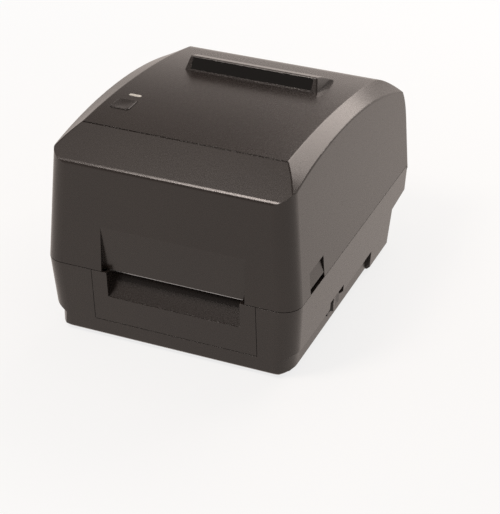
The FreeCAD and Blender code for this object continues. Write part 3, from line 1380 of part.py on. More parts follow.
def tray_wall(x0):
    """One upright side of the media bay."""
    low = REAR_LEDGE_Z - TRAY_THICK
    outline = [(SIDE_DECK_REAR_BACK, SIDE_DECK_Z), (SIDE_DECK_REAR_BACK, low)] + tray_underside()
    outline.append((DECK_FRONT_BACK, DECK_FRONT_Z))
    outline.append((LEFT_DECK_FRONT_BACK, SIDE_DECK_Z))
    return side_prism(outline, x0, x0 + BAY_WALL)


def holder_rows():
    """For the left and the right holder: the side, and the way its rack lies from the pinion."""
    return ((-1, -1), (1, 1))


def foot_slot(side, row, margin):
    """The span of one holder's foot in the tray, over its whole travel when given a margin."""
    plate = MEDIA_X + side * (HOLDER_HALF_GAP + HOLDER_THICK)
    inner = plate - side * (RACK_FOOT_LENGTH + HOLDER_THICK)
    if margin > 0:
        inner -= side * (HOLDER_TRAVEL + margin)
        plate += side * margin
    x0, x1 = sorted((plate, inner))
    rack_inner = back(ROLL_BACK) + row * (RACK_PINION_R + DEDENDUM * MODULE)
    y0, y1 = sorted((rack_inner - row * margin, rack_inner + row * (RACK_FOOT_WIDTH + margin)))
    return x0, x1, y0, y1


def media_tray():
    """The inner cover: side decks over the works, and the bay for the label roll between them."""
    deck_low = SIDE_DECK_Z - TRAY_THICK
    rear = back(SIDE_DECK_REAR_BACK)
    left = box(-SIDE_DECK_X, BAY_LEFT, back(LEFT_DECK_FRONT_BACK), rear, deck_low, SIDE_DECK_Z)
    right = box(BAY_RIGHT, SIDE_DECK_X, back(RIGHT_DECK_FRONT_BACK), rear, deck_low, SIDE_DECK_Z)
    tray = fused(tray_sheet(), tray_wall(BAY_LEFT - BAY_WALL), tray_wall(BAY_RIGHT), left, right)
    cuts = []
    for side, row in holder_rows():
        x0, x1, y0, y1 = foot_slot(side, row, SLIDE_GAP)
        cuts.append(box(x0, x1, y0, y1, FLOOR_TOP_Z, DECK_REAR_Z))
    half = SENSOR_SLOT_WIDTH / 2
    cuts.append(box(MEDIA_X - SENSOR_SLOT_HALF, MEDIA_X + SENSOR_SLOT_HALF, back(SENSOR_BACK) - half,
                    back(SENSOR_BACK) + half, FLOOR_TOP_Z, SIDE_DECK_Z))
    bush_room = back(PLATEN_BACK + BUSH_FLANGE_R + PORT_PROUD)
    cuts.append(box(BAY_RIGHT - PAST, BRACKET_X + PLATE_THICK + PORT_GAP, FRONT, bush_room, deck_low - PAST,
                    SIDE_DECK_Z + PAST))
    edge = tab_pivot_x() - TAB_BARREL_R - TAB_HOOK_REACH + KEEPER_CATCH
    middle = (TAB_FRONT_BACK + TAB_REAR_BACK) / 2
    notch_half = TAB_LEG_HALF + 2 * TAB_GAP
    notch = box(edge, WIDTH, back(middle - notch_half), back(middle + notch_half), deck_low - PAST,
                SIDE_DECK_Z + PAST)
    return tray.cut(cuts + [notch, mirrored(notch)])


def holder_plate(x0):
    """A roll holder's upright: a round head on a tapered arm whose foot follows the well."""
    low = ROLL_Z - WELL_R
    lean = (HOLDER_FOOT_HALF - HOLDER_HEAD_R) / (ROLL_Z - low)
    arm = side_prism([(ROLL_BACK - HOLDER_FOOT_HALF, low), (ROLL_BACK + HOLDER_FOOT_HALF, low),
                      (ROLL_BACK + HOLDER_FOOT_HALF - lean * (ROLL_Z - low), ROLL_Z),
                      (ROLL_BACK - HOLDER_FOOT_HALF + lean * (ROLL_Z - low), ROLL_Z)], x0, x0 + HOLDER_THICK)
    head = rod_x(x0, x0 + HOLDER_THICK, back(ROLL_BACK), ROLL_Z, HOLDER_HEAD_R)
    clear = rod_x(x0 - PAST, x0 + HOLDER_THICK + PAST, back(ROLL_BACK), ROLL_Z, WELL_R - HOLDER_CLEAR)
    return fused(arm, head).common(clear)


def rack_teeth(row, x_from, x_to):
    """A straight rack along X whose teeth face the pinion."""
    pitch = math.pi * MODULE
    line = back(ROLL_BACK) + row * RACK_PINION_R
    tip = line - row * ADDENDUM * MODULE
    root = line + row * DEDENDUM * MODULE
    rear = root + row * RACK_DEPTH
    half = pitch / 4 - BACKLASH / 4
    slope = math.tan(PRESSURE_ANGLE)
    first = math.ceil((x_from - MEDIA_X) / pitch)
    last = math.floor((x_to - MEDIA_X) / pitch)
    points = [(x_from, rear), (x_from, root)]
    for k in range(first, last):
        middle = MEDIA_X + (k + 0.5) * pitch
        wide = half + DEDENDUM * MODULE * slope
        narrow = half - ADDENDUM * MODULE * slope
        points += [(middle - wide, root), (middle - narrow, tip)]
        points += [(middle + narrow, tip), (middle + wide, root)]
    points += [(x_to, root), (x_to, rear)]
    return plan_prism(points, RACK_Z, RACK_Z + RACK_HEIGHT)


def roll_holder(side, row):
    """One roll holder: the upright, the hub for the roll's core, the foot and the rack under the tray."""
    inner = MEDIA_X + side * HOLDER_HALF_GAP
    x0 = min(inner, inner + side * HOLDER_THICK)
    plate = holder_plate(x0)
    axis = V(inner, back(ROLL_BACK), ROLL_Z)
    inward = V(-side, 0, 0)
    hub = Part.makeCone(HUB_R, HUB_TIP_R, HUB_LENGTH, axis, inward)
    hollow = Part.makeCone(HUB_R - WALL, HUB_TIP_R - WALL, HUB_LENGTH, axis, inward)
    fx0, fx1, fy0, fy1 = foot_slot(side, row, 0)
    low = ROLL_Z - WELL_R
    foot = box(fx0, fx1, fy0, fy1, RACK_Z, low)
    ankle = box(x0, x0 + HOLDER_THICK, fy0, fy1, low - PAST, DECK_REAR_Z)
    rack_end = MEDIA_X - side * RACK_OVERRUN
    rack = rack_teeth(row, min(fx0, rack_end), max(fx1, rack_end))
    return fused(plate, hub.cut(hollow), foot, ankle, rack)


def holder_pinion():
    """The pinion between the two racks."""
    outline = gear_profile(RACK_PINION_TEETH, math.pi / 2)
    gear = plan_prism([(MEDIA_X + u, back(ROLL_BACK) + v) for u, v in outline], RACK_Z, RACK_Z + RACK_HEIGHT)
    return gear.cut(rod_z(MEDIA_X, back(ROLL_BACK), 0, DECK_REAR_Z, STUD_R + RUN_GAP))


def pinion_stud():
    """The stud that the racks' pinion turns on, with a head that keeps it down."""
    y = back(ROLL_BACK)
    head_z = RACK_Z + RACK_HEIGHT + PORT_GAP
    stud = rod_z(MEDIA_X, y, RACK_Z - PORT_GAP, head_z, STUD_R)
    head = rod_z(MEDIA_X, y, head_z, head_z + STUD_CAP_THICK, STUD_R + STUD_COLLAR)
    return fused(stud, head)


def media_sensor():
    """The gap sensor: a block clipped in the deck's slot by a flange above and one below."""
    slope = (DECK_REAR_Z - DECK_FRONT_Z) / (WELL_FRONT_BACK - DECK_FRONT_BACK)
    half = SENSOR_LENGTH / 2
    neck = SENSOR_SLOT_WIDTH / 2 - SENSOR_GAP
    wide = SENSOR_SLOT_WIDTH / 2 + SENSOR_FLANGE
    low = -TRAY_THICK - SENSOR_GAP
    outline = [(-wide, SENSOR_GAP), (-neck, SENSOR_GAP), (-neck, low), (-wide, low),
               (-wide, low - SENSOR_FLANGE_THICK), (wide, low - SENSOR_FLANGE_THICK), (wide, low),
               (neck, low), (neck, SENSOR_GAP), (wide, SENSOR_GAP),
               (neck, SENSOR_GAP + SENSOR_FLANGE_THICK), (-neck, SENSOR_GAP + SENSOR_FLANGE_THICK)]
    wire = path(outline, lambda p: V(MEDIA_X - half, p[0], p[1]))
    block = Part.Face(wire).extrude(V(SENSOR_LENGTH, 0, 0))
    return tilted(block, math.atan(slope), back(SENSOR_BACK), deck_height(SENSOR_BACK))


def switch_frame():
    """The power switch's body: a flange on the wall and a well that the rocker tilts in."""
    y = back(SWITCH_BACK)
    x = UNDERCUT_X
    flange = box(x, x + SWITCH_FLANGE_THICK, y - SWITCH_FLANGE_HALF, y + SWITCH_FLANGE_HALF,
                 SWITCH_Z - SWITCH_FLANGE_HALF_HEIGHT, SWITCH_Z + SWITCH_FLANGE_HALF_HEIGHT)
    body = box(x - SWITCH_BODY_DEPTH, x, y - SWITCH_BODY_HALF, y + SWITCH_BODY_HALF,
               SWITCH_Z - SWITCH_BODY_HALF_HEIGHT, SWITCH_Z + SWITCH_BODY_HALF_HEIGHT)
    well = box(x - SWITCH_WELL_DEPTH, x + SWITCH_FLANGE_THICK + PAST,
               y - SWITCH_WELL_HALF, y + SWITCH_WELL_HALF,
               SWITCH_Z - SWITCH_WELL_HALF_HEIGHT, SWITCH_Z + SWITCH_WELL_HALF_HEIGHT)
    pivot = rod_z(x - ROCKER_PIVOT_DEPTH, y, SWITCH_Z - SWITCH_BODY_HALF_HEIGHT,
                  SWITCH_Z + SWITCH_BODY_HALF_HEIGHT, STUD_R / 2)
    return fused(fused(flange, body).cut(well), pivot)


def power_rocker():
    """The rocker: two faces that dip to the middle, over a round back, resting with its rear end in."""
    y = back(SWITCH_BACK)
    face = UNDERCUT_X + SWITCH_FLANGE_THICK + ROCKER_END_PROUD
    pivot_x = UNDERCUT_X - ROCKER_PIVOT_DEPTH
    keel = pivot_x - STUD_R
    outline = [(face, y - ROCKER_HALF), (face - ROCKER_DIP, y), (face, y + ROCKER_HALF),
               (UNDERCUT_X, y + ROCKER_HALF), (keel, y + STUD_R), (keel, y - STUD_R),
               (UNDERCUT_X, y - ROCKER_HALF)]
    rocker = plan_prism(outline, SWITCH_Z - ROCKER_HALF_HEIGHT, SWITCH_Z + ROCKER_HALF_HEIGHT)
    rocker = rocker.cut(rod_z(pivot_x, y, 0, PARTING_Z, STUD_R / 2 + RUN_GAP))
    rocker.rotate(V(pivot_x, y, 0), V(0, 0, 1), ROCKER_TILT)
    return rocker


def ribbon_outline():
    """The ribbon module's side plate in side view."""
    front = HEAD_FRONT_BACK + RIBBON_PLATE_FRONT_SET
    rear = SUPPLY_BACK + SPINDLE_FLANGE_R + RIBBON_PLATE_EDGE
    shoulder_z = TAKEUP_Z + RIBBON_SHOULDER_RISE
    return [(front, HEAD_SHAFT_Z - RIBBON_PLATE_EDGE), (front, CROSS_PLATE_Z + RIBBON_PLATE_LIP),
            (TAKEUP_BACK - RIBBON_SHOULDER_RUN, shoulder_z),
            (MODULE_BOSS_FRONT_BACK - RIBBON_PLATE_EDGE, MODULE_TOP_Z),
            (MODULE_BOSS_REAR_BACK + RIBBON_PLATE_LIP, MODULE_TOP_Z), (rear, shoulder_z),
            (rear, SUPPLY_Z - SUPPLY_DROP),
            (HEAD_SHAFT_BACK + RIBBON_HEEL_RUN, HEAD_SHAFT_Z - RIBBON_HEEL_DROP),
            (HEAD_SHAFT_BACK - RIBBON_PLATE_FRONT_SET, HEAD_SHAFT_Z - RIBBON_PLATE_EDGE - RIBBON_HEEL_DROP)]


def guide_rod_places():
    """Where the ribbon's two guide rods cross the module."""
    return ((HEAD_FRONT_BACK + GUIDE_FRONT_SET, CROSS_PLATE_Z + PLATE_THICK + 2 * GUIDE_ROD_R),
            (HEAD_SHAFT_BACK + GUIDE_REAR_SET, HEAD_SHAFT_Z + GUIDE_REAR_RISE))


def ribbon_plate(side):
    """One side plate of the ribbon module, with a flange at its top that is screwed to the cover."""
    x0 = MODULE_LEFT - PLATE_THICK if side < 0 else MODULE_RIGHT
    holes = [(SUPPLY_BACK, SUPPLY_Z, SPINDLE_END_R + RUN_GAP),
             (TAKEUP_BACK, TAKEUP_Z, SPINDLE_END_R + RUN_GAP),
             (HEAD_SHAFT_BACK, HEAD_SHAFT_Z, HEAD_SHAFT_R)]
    holes += [(d, z, GUIDE_ROD_R) for d, z in guide_rod_places()]
    if side < 0:
        holes.append((DRIVE_BACK, DRIVE_Z, STUD_R))
    plate = side_plate(x0, ribbon_outline(), holes)
    outer = MEDIA_X + side * (MODULE_HALF_GAP + PLATE_THICK)
    inner = MEDIA_X + side * (MODULE_HALF_GAP - MODULE_FLANGE)
    flange = box(min(outer, inner), max(outer, inner), back(MODULE_BOSS_FRONT_BACK - RIBBON_PLATE_EDGE),
                 back(MODULE_BOSS_REAR_BACK + RIBBON_PLATE_LIP), MODULE_TOP_Z - PLATE_THICK, MODULE_TOP_Z)
    return fused(plate, flange)


def ribbon_cross_plate():
    """The folded plate between the side plates, over the print head."""
    front = CROSS_PLATE_FRONT_BACK
    inner = front + PLATE_THICK
    low = CROSS_PLATE_Z - CROSS_PLATE_FOLD
    top = CROSS_PLATE_Z + PLATE_THICK
    outline = [(front, low), (front, top), (CROSS_PLATE_REAR_BACK, top),
               (CROSS_PLATE_REAR_BACK, CROSS_PLATE_Z), (inner, CROSS_PLATE_Z), (inner, low)]
    return side_prism(outline, MODULE_LEFT, MODULE_RIGHT)


def ribbon_guide_rods():
    """Two rods that lead the ribbon past the head."""
    rods = [rod_x(MODULE_LEFT - PLATE_THICK, MODULE_RIGHT + PLATE_THICK, back(d), z, GUIDE_ROD_R)
            for d, z in guide_rod_places()]
    return Part.makeCompound(rods)


def ribbon_spindle(distance, z, left_end):
    """A ribbon spindle: a bar, a finned hub for the core, a flange, and ends that turn in the side plates."""
    y = back(distance)
    x0 = MODULE_LEFT + SPINDLE_SIDE_GAP
    x1 = MODULE_RIGHT - SPINDLE_SIDE_GAP
    pieces = [rod_x(left_end, MODULE_RIGHT + PLATE_THICK + SHAFT_END, y, z, SPINDLE_END_R),
              rod_x(x0, x0 + SPINDLE_FLANGE_THICK, y, z, SPINDLE_FLANGE_R),
              rod_x(x1 - SPINDLE_FLANGE_THICK, x1, y, z, SPINDLE_HUB_R)]
    fin = box(x0, x1, y - SPINDLE_FIN_THICK / 2, y + SPINDLE_FIN_THICK / 2, z, z + SPINDLE_HUB_R)
    for k in range(4):
        turned = fin.copy()
        turned.rotate(V(0, y, z), V(1, 0, 0), 90 * k)
        pieces.append(turned)
    return fused(rod_x(x0, x1, y, z, SPINDLE_R), *pieces)


def takeup_gear():
    """The gear on the take-up spindle, outside the left plate."""
    return side_gear(TAKEUP_TEETH, TAKEUP_BACK, TAKEUP_Z, RIBBON_DRIVE_ANGLE,
                     RIBBON_GEAR_X, RIBBON_GEAR_WIDTH, SPINDLE_END_R)


def ribbon_drive_gear():
    """The gear that drives the take-up spindle, on a stud in the left plate."""
    turn = meshing_turn(RIBBON_DRIVE_ANGLE, TAKEUP_TEETH, RIBBON_DRIVE_ANGLE, RIBBON_DRIVE_TEETH)
    return side_gear(RIBBON_DRIVE_TEETH, DRIVE_BACK, DRIVE_Z, turn, RIBBON_GEAR_X, RIBBON_GEAR_WIDTH,
                     STUD_R + RUN_GAP)


def ribbon_drive_stud():
    """The stud under the ribbon drive gear, with a cap at its end."""
    x0 = RIBBON_GEAR_X - PORT_GAP
    y = back(DRIVE_BACK)
    cap = rod_x(x0 - STUD_CAP_THICK, x0, y, DRIVE_Z, STUD_R + STUD_COLLAR)
    return fused(rod_x(x0, MODULE_LEFT, y, DRIVE_Z, STUD_R), cap)


def head_shaft():
    """The shaft that the head bracket hangs on."""
    return rod_x(MODULE_LEFT - PLATE_THICK, MODULE_RIGHT + PLATE_THICK, back(HEAD_SHAFT_BACK), HEAD_SHAFT_Z,
                 HEAD_SHAFT_R)


def head_bracket():
    """The folded bracket that carries the print head: a plate and two ears on the head shaft."""
    x0 = MEDIA_X - HEAD_HALF_LENGTH
    x1 = MEDIA_X + HEAD_HALF_LENGTH
    y = back(HEAD_SHAFT_BACK)
    plate = box(x0, x1, back(HEAD_FRONT_BACK), y - BRACKET_LUG_R, BRACKET_Z, BRACKET_Z + BRACKET_THICK)
    ears = []
    for x in (x0, x1 - BRACKET_LUG_WIDTH):
        tip = (HEAD_SHAFT_BACK + BRACKET_LUG_R, HEAD_SHAFT_Z)
        ear = side_prism([(HEAD_REAR_BACK, BRACKET_Z), (HEAD_SHAFT_BACK, HEAD_SHAFT_Z - BRACKET_LUG_R),
                          (tip, (HEAD_SHAFT_BACK, HEAD_SHAFT_Z + BRACKET_LUG_R)),
                          (HEAD_REAR_BACK, BRACKET_Z + BRACKET_THICK)], x, x + BRACKET_LUG_WIDTH)
        ears.append(ear)
    bore = rod_x(x0 - PAST, x1 + PAST, y, HEAD_SHAFT_Z, HEAD_SHAFT_R + RUN_GAP)
    return fused(plate, *ears).cut(bore)


def heat_sink():
    """The aluminium block between the bracket and the head, with grooves along it."""
    x0 = MEDIA_X - HEAD_HALF_LENGTH
    x1 = MEDIA_X + HEAD_HALF_LENGTH
    points = [(HEAD_FRONT_BACK, SINK_Z), (HEAD_FRONT_BACK, BRACKET_Z)]
    step = 2 * SINK_FIN_THICK
    place = HEAD_FRONT_BACK + step
    while place + step < HEAD_REAR_BACK:
        low = SINK_Z + SINK_HEIGHT / 2
        far = place + SINK_FIN_THICK
        points += [(place, BRACKET_Z), (place, low), (far, low), (far, BRACKET_Z)]
        place += step
    points += [(HEAD_REAR_BACK, BRACKET_Z), (HEAD_REAR_BACK, SINK_Z)]
    return side_prism(points, x0, x1)


def print_head():
    """The head strip: a flat ceramic with a low ridge over the platen's line."""
    half = HEAD_RIDGE_WIDTH / 2
    ridge = [(PLATEN_BACK - HEAD_RIDGE_WIDTH, HEAD_STRIP_Z), (PLATEN_BACK - half, PRINT_LINE_Z),
             (PLATEN_BACK + half, PRINT_LINE_Z), (PLATEN_BACK + HEAD_RIDGE_WIDTH, HEAD_STRIP_Z)]
    outline = [(HEAD_FRONT_BACK, HEAD_STRIP_Z)] + ridge
    outline += [(HEAD_REAR_BACK, HEAD_STRIP_Z), (HEAD_REAR_BACK, SINK_Z), (HEAD_FRONT_BACK, SINK_Z)]
    return side_prism(outline, MEDIA_X - HEAD_HALF_LENGTH, MEDIA_X + HEAD_HALF_LENGTH)


def head_spring():
    """The leaf springs on the bracket that load the head from the cross plate."""
    low = BRACKET_Z + BRACKET_THICK
    high = CROSS_PLATE_Z - SPRING_GAP
    front = HEAD_FRONT_BACK + SPRING_FRONT_SET
    rear = HEAD_REAR_BACK + SPRING_TAIL
    skew = SPRING_THICK / 2
    outline = [(front, high - SPRING_THICK), (front, high), (front + SPRING_FLAT + skew, high),
               (rear - SPRING_FLAT + skew, low + SPRING_THICK), (rear, low + SPRING_THICK), (rear, low),
               (rear - SPRING_FLAT - skew, low), (front + SPRING_FLAT - skew, high - SPRING_THICK)]
    leaves = []
    for side in (-1, 1):
        x = MEDIA_X + side * SPRING_X
        leaves.append(side_prism(outline, x - SPRING_WIDTH / 2, x + SPRING_WIDTH / 2))
    return Part.makeCompound(leaves)


def main():
    """Build every node and write it."""
    os.makedirs("parts", exist_ok=True)
    supply_end = MODULE_LEFT - PLATE_THICK - SHAFT_END
    takeup_end = RIBBON_GEAR_X - SHAFT_END
    nodes = {
        "lower_case": lower_case(),
        "front_exit_panel": front_exit_panel(),
        "media_tray": media_tray(),
        "gear_plate": gear_plate(),
        "platen_bracket": platen_bracket(),
        "platen_bushes": platen_bushes(),
        "tear_bar": tear_bar(),
        "stepper_motor": stepper_motor(),
        "idler_stud": idler_stud(),
        "pinion_stud": pinion_stud(),
        "main_board": main_board(),
        "port_board": port_board(),
        "dc_inlet": dc_inlet(),
        "usb_port": socket_shell("usb_port"),
        "serial_port": socket_shell("serial_port"),
        "switch_frame": switch_frame(),
        "rubber_feet": rubber_feet(),
        "case_screws": case_screws(),
        "hinge_pins": hinge_pins(),
        "latch_keepers": latch_keepers(),
        "top_cover": top_cover(),
        "media_window": media_window(),
        "led_lens": led_lens(),
        "control_board": control_board(),
        "latch_pins": latch_pins(),
        "ribbon_plate_left": ribbon_plate(-1),
        "ribbon_plate_right": ribbon_plate(1),
        "ribbon_cross_plate": ribbon_cross_plate(),
        "ribbon_guide_rods": ribbon_guide_rods(),
        "ribbon_drive_stud": ribbon_drive_stud(),
        "head_shaft": head_shaft(),
        "feed_button": feed_button(),
        "power_rocker": power_rocker(),
        "latch_tab_right": latch_tab(),
        "latch_tab_left": mirrored(latch_tab()),
        "platen_shaft": platen_shaft(),
        "platen_roller": platen_roller(),
        "platen_gear": platen_gear(),
        "idler_gear": idler_gear(),
        "motor_pinion": motor_pinion(),
        "roll_holder_left": roll_holder(-1, -1),
        "roll_holder_right": roll_holder(1, 1),
        "holder_pinion": holder_pinion(),
        "media_sensor": media_sensor(),
        "ribbon_supply_spindle": ribbon_spindle(SUPPLY_BACK, SUPPLY_Z, supply_end),
        "ribbon_takeup_spindle": ribbon_spindle(TAKEUP_BACK, TAKEUP_Z, takeup_end),
        "takeup_gear": takeup_gear(),
        "ribbon_drive_gear": ribbon_drive_gear(),
        "head_bracket": head_bracket(),
        "heat_sink": heat_sink(),
        "print_head": print_head(),
        "head_spring": head_spring(),
    }
    for name, shape in nodes.items():
        save(name, shape)


main()
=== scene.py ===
"""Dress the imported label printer.

The moulded shells, plates, gears and shafts keep their CAD solids and get procedural finishes. Small pieces
whose character is in their surface, such as the dished key and rocker, the domed lens, the rubber sleeve and
the screws, are worked out here with numpy and stand in for their solids. The contacts in the sockets and what
the control board carries are added to them. Lengths are millimetres until a mesh is made.
"""
from __future__ import annotations

import json
import logging
import math
from abc import ABC, abstractmethod
from dataclasses import dataclass
from enum import Enum

import bmesh
import bpy
import numpy as np
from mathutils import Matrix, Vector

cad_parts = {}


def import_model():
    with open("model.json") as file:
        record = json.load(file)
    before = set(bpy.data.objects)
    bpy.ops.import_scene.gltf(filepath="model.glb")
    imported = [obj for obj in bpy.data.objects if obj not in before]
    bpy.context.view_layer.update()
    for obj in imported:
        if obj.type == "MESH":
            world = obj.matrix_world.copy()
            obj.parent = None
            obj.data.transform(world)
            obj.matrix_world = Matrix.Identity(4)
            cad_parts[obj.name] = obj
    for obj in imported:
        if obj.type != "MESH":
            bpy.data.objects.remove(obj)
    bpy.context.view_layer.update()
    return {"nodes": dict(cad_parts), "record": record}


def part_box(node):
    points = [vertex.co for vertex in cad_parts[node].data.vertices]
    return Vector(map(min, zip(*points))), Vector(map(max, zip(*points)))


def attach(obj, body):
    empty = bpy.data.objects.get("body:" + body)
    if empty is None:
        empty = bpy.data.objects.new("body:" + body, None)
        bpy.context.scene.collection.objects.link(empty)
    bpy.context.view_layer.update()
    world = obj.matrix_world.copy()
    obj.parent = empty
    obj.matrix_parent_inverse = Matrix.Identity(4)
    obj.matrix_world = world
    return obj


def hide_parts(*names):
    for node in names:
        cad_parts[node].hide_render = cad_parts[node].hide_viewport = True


LOG = logging.getLogger("label_printer")
Array = np.ndarray
Surface = tuple[Array, Array]
MM = 0.001
# Points nearer than the weld become one point, and faces that meet at a wider angle keep a sharp edge.
WELD = 0.004
SHARP = math.radians(32.0)
WHITE = "ffffff"
# The light is a little warm: paper white under lamps of just under 6000 kelvin.
WARM_WHITE = "fff2ea"
# Most of a noise texture's values lie in this span.
NOISE_SPAN = {"From Min": 0.3, "From Max": 0.7}
# Half of each socket's height, along the rear wall.
SOCKET_HALF_HEIGHTS = {"serial_port": 6.25, "usb_port": 5.5, "dc_inlet": 5.5}


class Axis(Enum):
    """The axis that a turned or stacked piece lies along."""

    X = 0
    Z = 2


def linear(code: str) -> tuple[float, float, float, float]:
    """Turn an sRGB hex colour into linear light, by the sRGB curve.

    Args:
        code: Six hex digits, such as "4a4643".

    Returns:
        Red, green, blue and a full alpha.
    """
    part = np.array([int(code[k:k + 2], 16) for k in (0, 2, 4)]) / 255.0
    light = np.where(part <= 0.04045, part / 12.92, ((part + 0.055) / 1.055) ** 2.4)
    return (float(light[0]), float(light[1]), float(light[2]), 1.0)


def add_node(tree: bpy.types.NodeTree, kind: str, sockets: dict | None = None,
             **settings: object) -> bpy.types.Node:
    """Add one node with its settings, its socket values and its incoming links.

    Args:
        tree: The tree that takes the node.
        kind: The node's type name.
        sockets: Input names or numbers, each with a value or with an output socket to link from.
        settings: The node's own properties.

    Returns:
        The new node.
    """
    node = tree.nodes.new(kind)
    for name, value in settings.items():
        setattr(node, name, value)
    for key, value in (sockets or {}).items():
        if isinstance(value, bpy.types.NodeSocket):
            tree.links.new(value, node.inputs[key])
        else:
            node.inputs[key].default_value = value
    return node


def per_metre(spacing: float) -> float:
    """Work out a texture's scale from a real size.

    Args:
        spacing: How far apart the pattern repeats, in millimetres.

    Returns:
        The scale that repeats once in that spacing.
    """
    return 1.0 / (spacing * MM)


def grid(points: Array) -> Surface:
    """Turn a grid of points into vertices and quads, each cell taking its four corners.

    Args:
        points: Rows by columns by three coordinates, in millimetres. The last column joins the first.

    Returns:
        The vertices and the quads.
    """
    rows, columns = points.shape[:2]
    index = np.arange(rows * columns).reshape(rows, columns)
    index = np.hstack([index, index[:, :1]])
    quads = np.stack([index[:-1, :-1], index[:-1, 1:], index[1:, 1:], index[1:, :-1]], axis=-1)
    return points.reshape(-1, 3), quads.reshape(-1, 4)


def joined(surfaces: list[Surface]) -> Surface:
    """Put several surfaces into one list of vertices and one list of quads.

    Args:
        surfaces: The vertices and quads of each.

    Returns:
        The vertices and quads of all.
    """
    starts = np.cumsum([0] + [len(points) for points, _ in surfaces[:-1]])
    quads = [faces + start for (_, faces), start in zip(surfaces, starts)]
    return np.concatenate([points for points, _ in surfaces]), np.concatenate(quads)


def stacked(levels: Array, centre: Array, axis: Axis = Axis.Z, count: int = 64, side: int = 0) -> Surface:
    """Stack rounded rectangles: a point is the corner's middle plus its radius times (cos t, sin t).

    The sign of cos t and sin t picks the corner, so the straight sides are the steps from one corner to the
    next, which further points may divide. A level whose half sizes equal its radius is a circle, and a level
    of no size closes an end.

    Args:
        levels: One row for each level: height, half width, half depth and corner radius.
        centre: The point that the heights and half sizes are measured from.
        axis: The axis that the heights run along.
        count: How many points the four corners of a level have, a multiple of four.
        side: How many more points divide each straight side.

    Returns:
        The vertices and quads of the stack.
    """
    t = (np.arange(count) + 0.5) * (2 * math.pi / count)
    cut = np.arange(1, 5)[:, None] * (count // 4) - 1 + np.arange(1, side + 1) / (side + 1)
    order = np.sort(np.append(np.arange(count), cut))
    loop = np.stack([np.cos(t), np.sin(t), np.sign(np.cos(t)), np.sign(np.sin(t))])
    cos, sin, right, up = (np.interp(order, np.arange(count), row, period=count) for row in loop)
    height, wide, deep, radius = (column[:, None] for column in np.asarray(levels, float).T)
    across = right * (wide - radius) + radius * cos
    along = up * (deep - radius) + radius * sin
    points = np.stack([across, along, np.broadcast_to(height, across.shape)], axis=-1)
    return grid(np.roll(points, axis.value + 1, axis=-1) + np.asarray(centre, float))


def dished(rim: float, depth: float, wide: float, deep: float, radius: float, steps: int = 9) -> Array:
    """Shape a dish or a dome: the height changes with the square of the way in from the rim.

    Args:
        rim: The height of the rim.
        depth: How far the middle lies below the rim, or above it where negative.
        wide: The rim's half width.
        deep: The rim's half depth.
        radius: The rim's corner radius.
        steps: How many levels.

    Returns:
        Rows for stacked, from the rim to the middle.
    """
    share = np.linspace(1.0, 0.0, steps)
    return np.stack([rim - depth * (1 - share ** 2), wide * share, deep * share, radius * share], axis=-1)


def rounds(profile: Array) -> Array:
    """Shape a turned piece.

    Args:
        profile: Pairs of height and radius.

    Returns:
        Rows for stacked.
    """
    height, radius = np.asarray(profile, float).T
    return np.stack([height, radius, radius, radius], axis=-1)


def quarter(radius: float, count: int) -> tuple[Array, Array]:
    """Follow a rounded edge through a quarter turn: it rises with sin t and draws in with 1 - cos t.

    Args:
        radius: The edge's radius.
        count: How many points it has.

    Returns:
        How far each point has risen, and how far it is drawn in.
    """
    turn = np.linspace(0.0, math.pi / 2, count)
    return radius * np.sin(turn), radius * (1 - np.cos(turn))


@dataclass(frozen=True)
class Seat:
    """The box that a CAD solid fills at rest, in millimetres."""

    low: Array
    high: Array

    @classmethod
    def of(cls, node: str) -> "Seat":
        """Look up the box of one CAD node.

        Args:
            node: The node's name.

        Returns:
            Its box.
        """
        low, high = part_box(node)
        return cls(np.array(low) / MM, np.array(high) / MM)

    @classmethod
    def each(cls, node: bpy.types.Object, apart: float) -> list["Seat"]:
        """Split a node of like solids into their boxes.

        On each side of the middle plane the vertices are sorted along Y and parted wherever a gap opens.

        Args:
            node: The CAD object.
            apart: The least gap between two solids, in millimetres.

        Returns:
            One box for each solid.
        """
        points = np.empty(3 * len(node.data.vertices))
        node.data.vertices.foreach_get("co", points)
        points = points.reshape(-1, 3) / MM
        seats = []
        for side in (points[points[:, 0] < 0], points[points[:, 0] > 0]):
            ordered = side[np.argsort(side[:, 1])]
            cuts = np.flatnonzero(np.diff(ordered[:, 1]) > apart) + 1
            seats += [cls(clump.min(axis=0), clump.max(axis=0)) for clump in np.split(ordered, cuts)]
        return seats

    @property
    def middle(self) -> Array:
        """The middle of the box."""
        return (self.low + self.high) / 2

    @property
    def axis(self) -> Array:
        """The foot of the upright line through the middle of the box."""
        return np.array([self.middle[0], self.middle[1], 0.0])


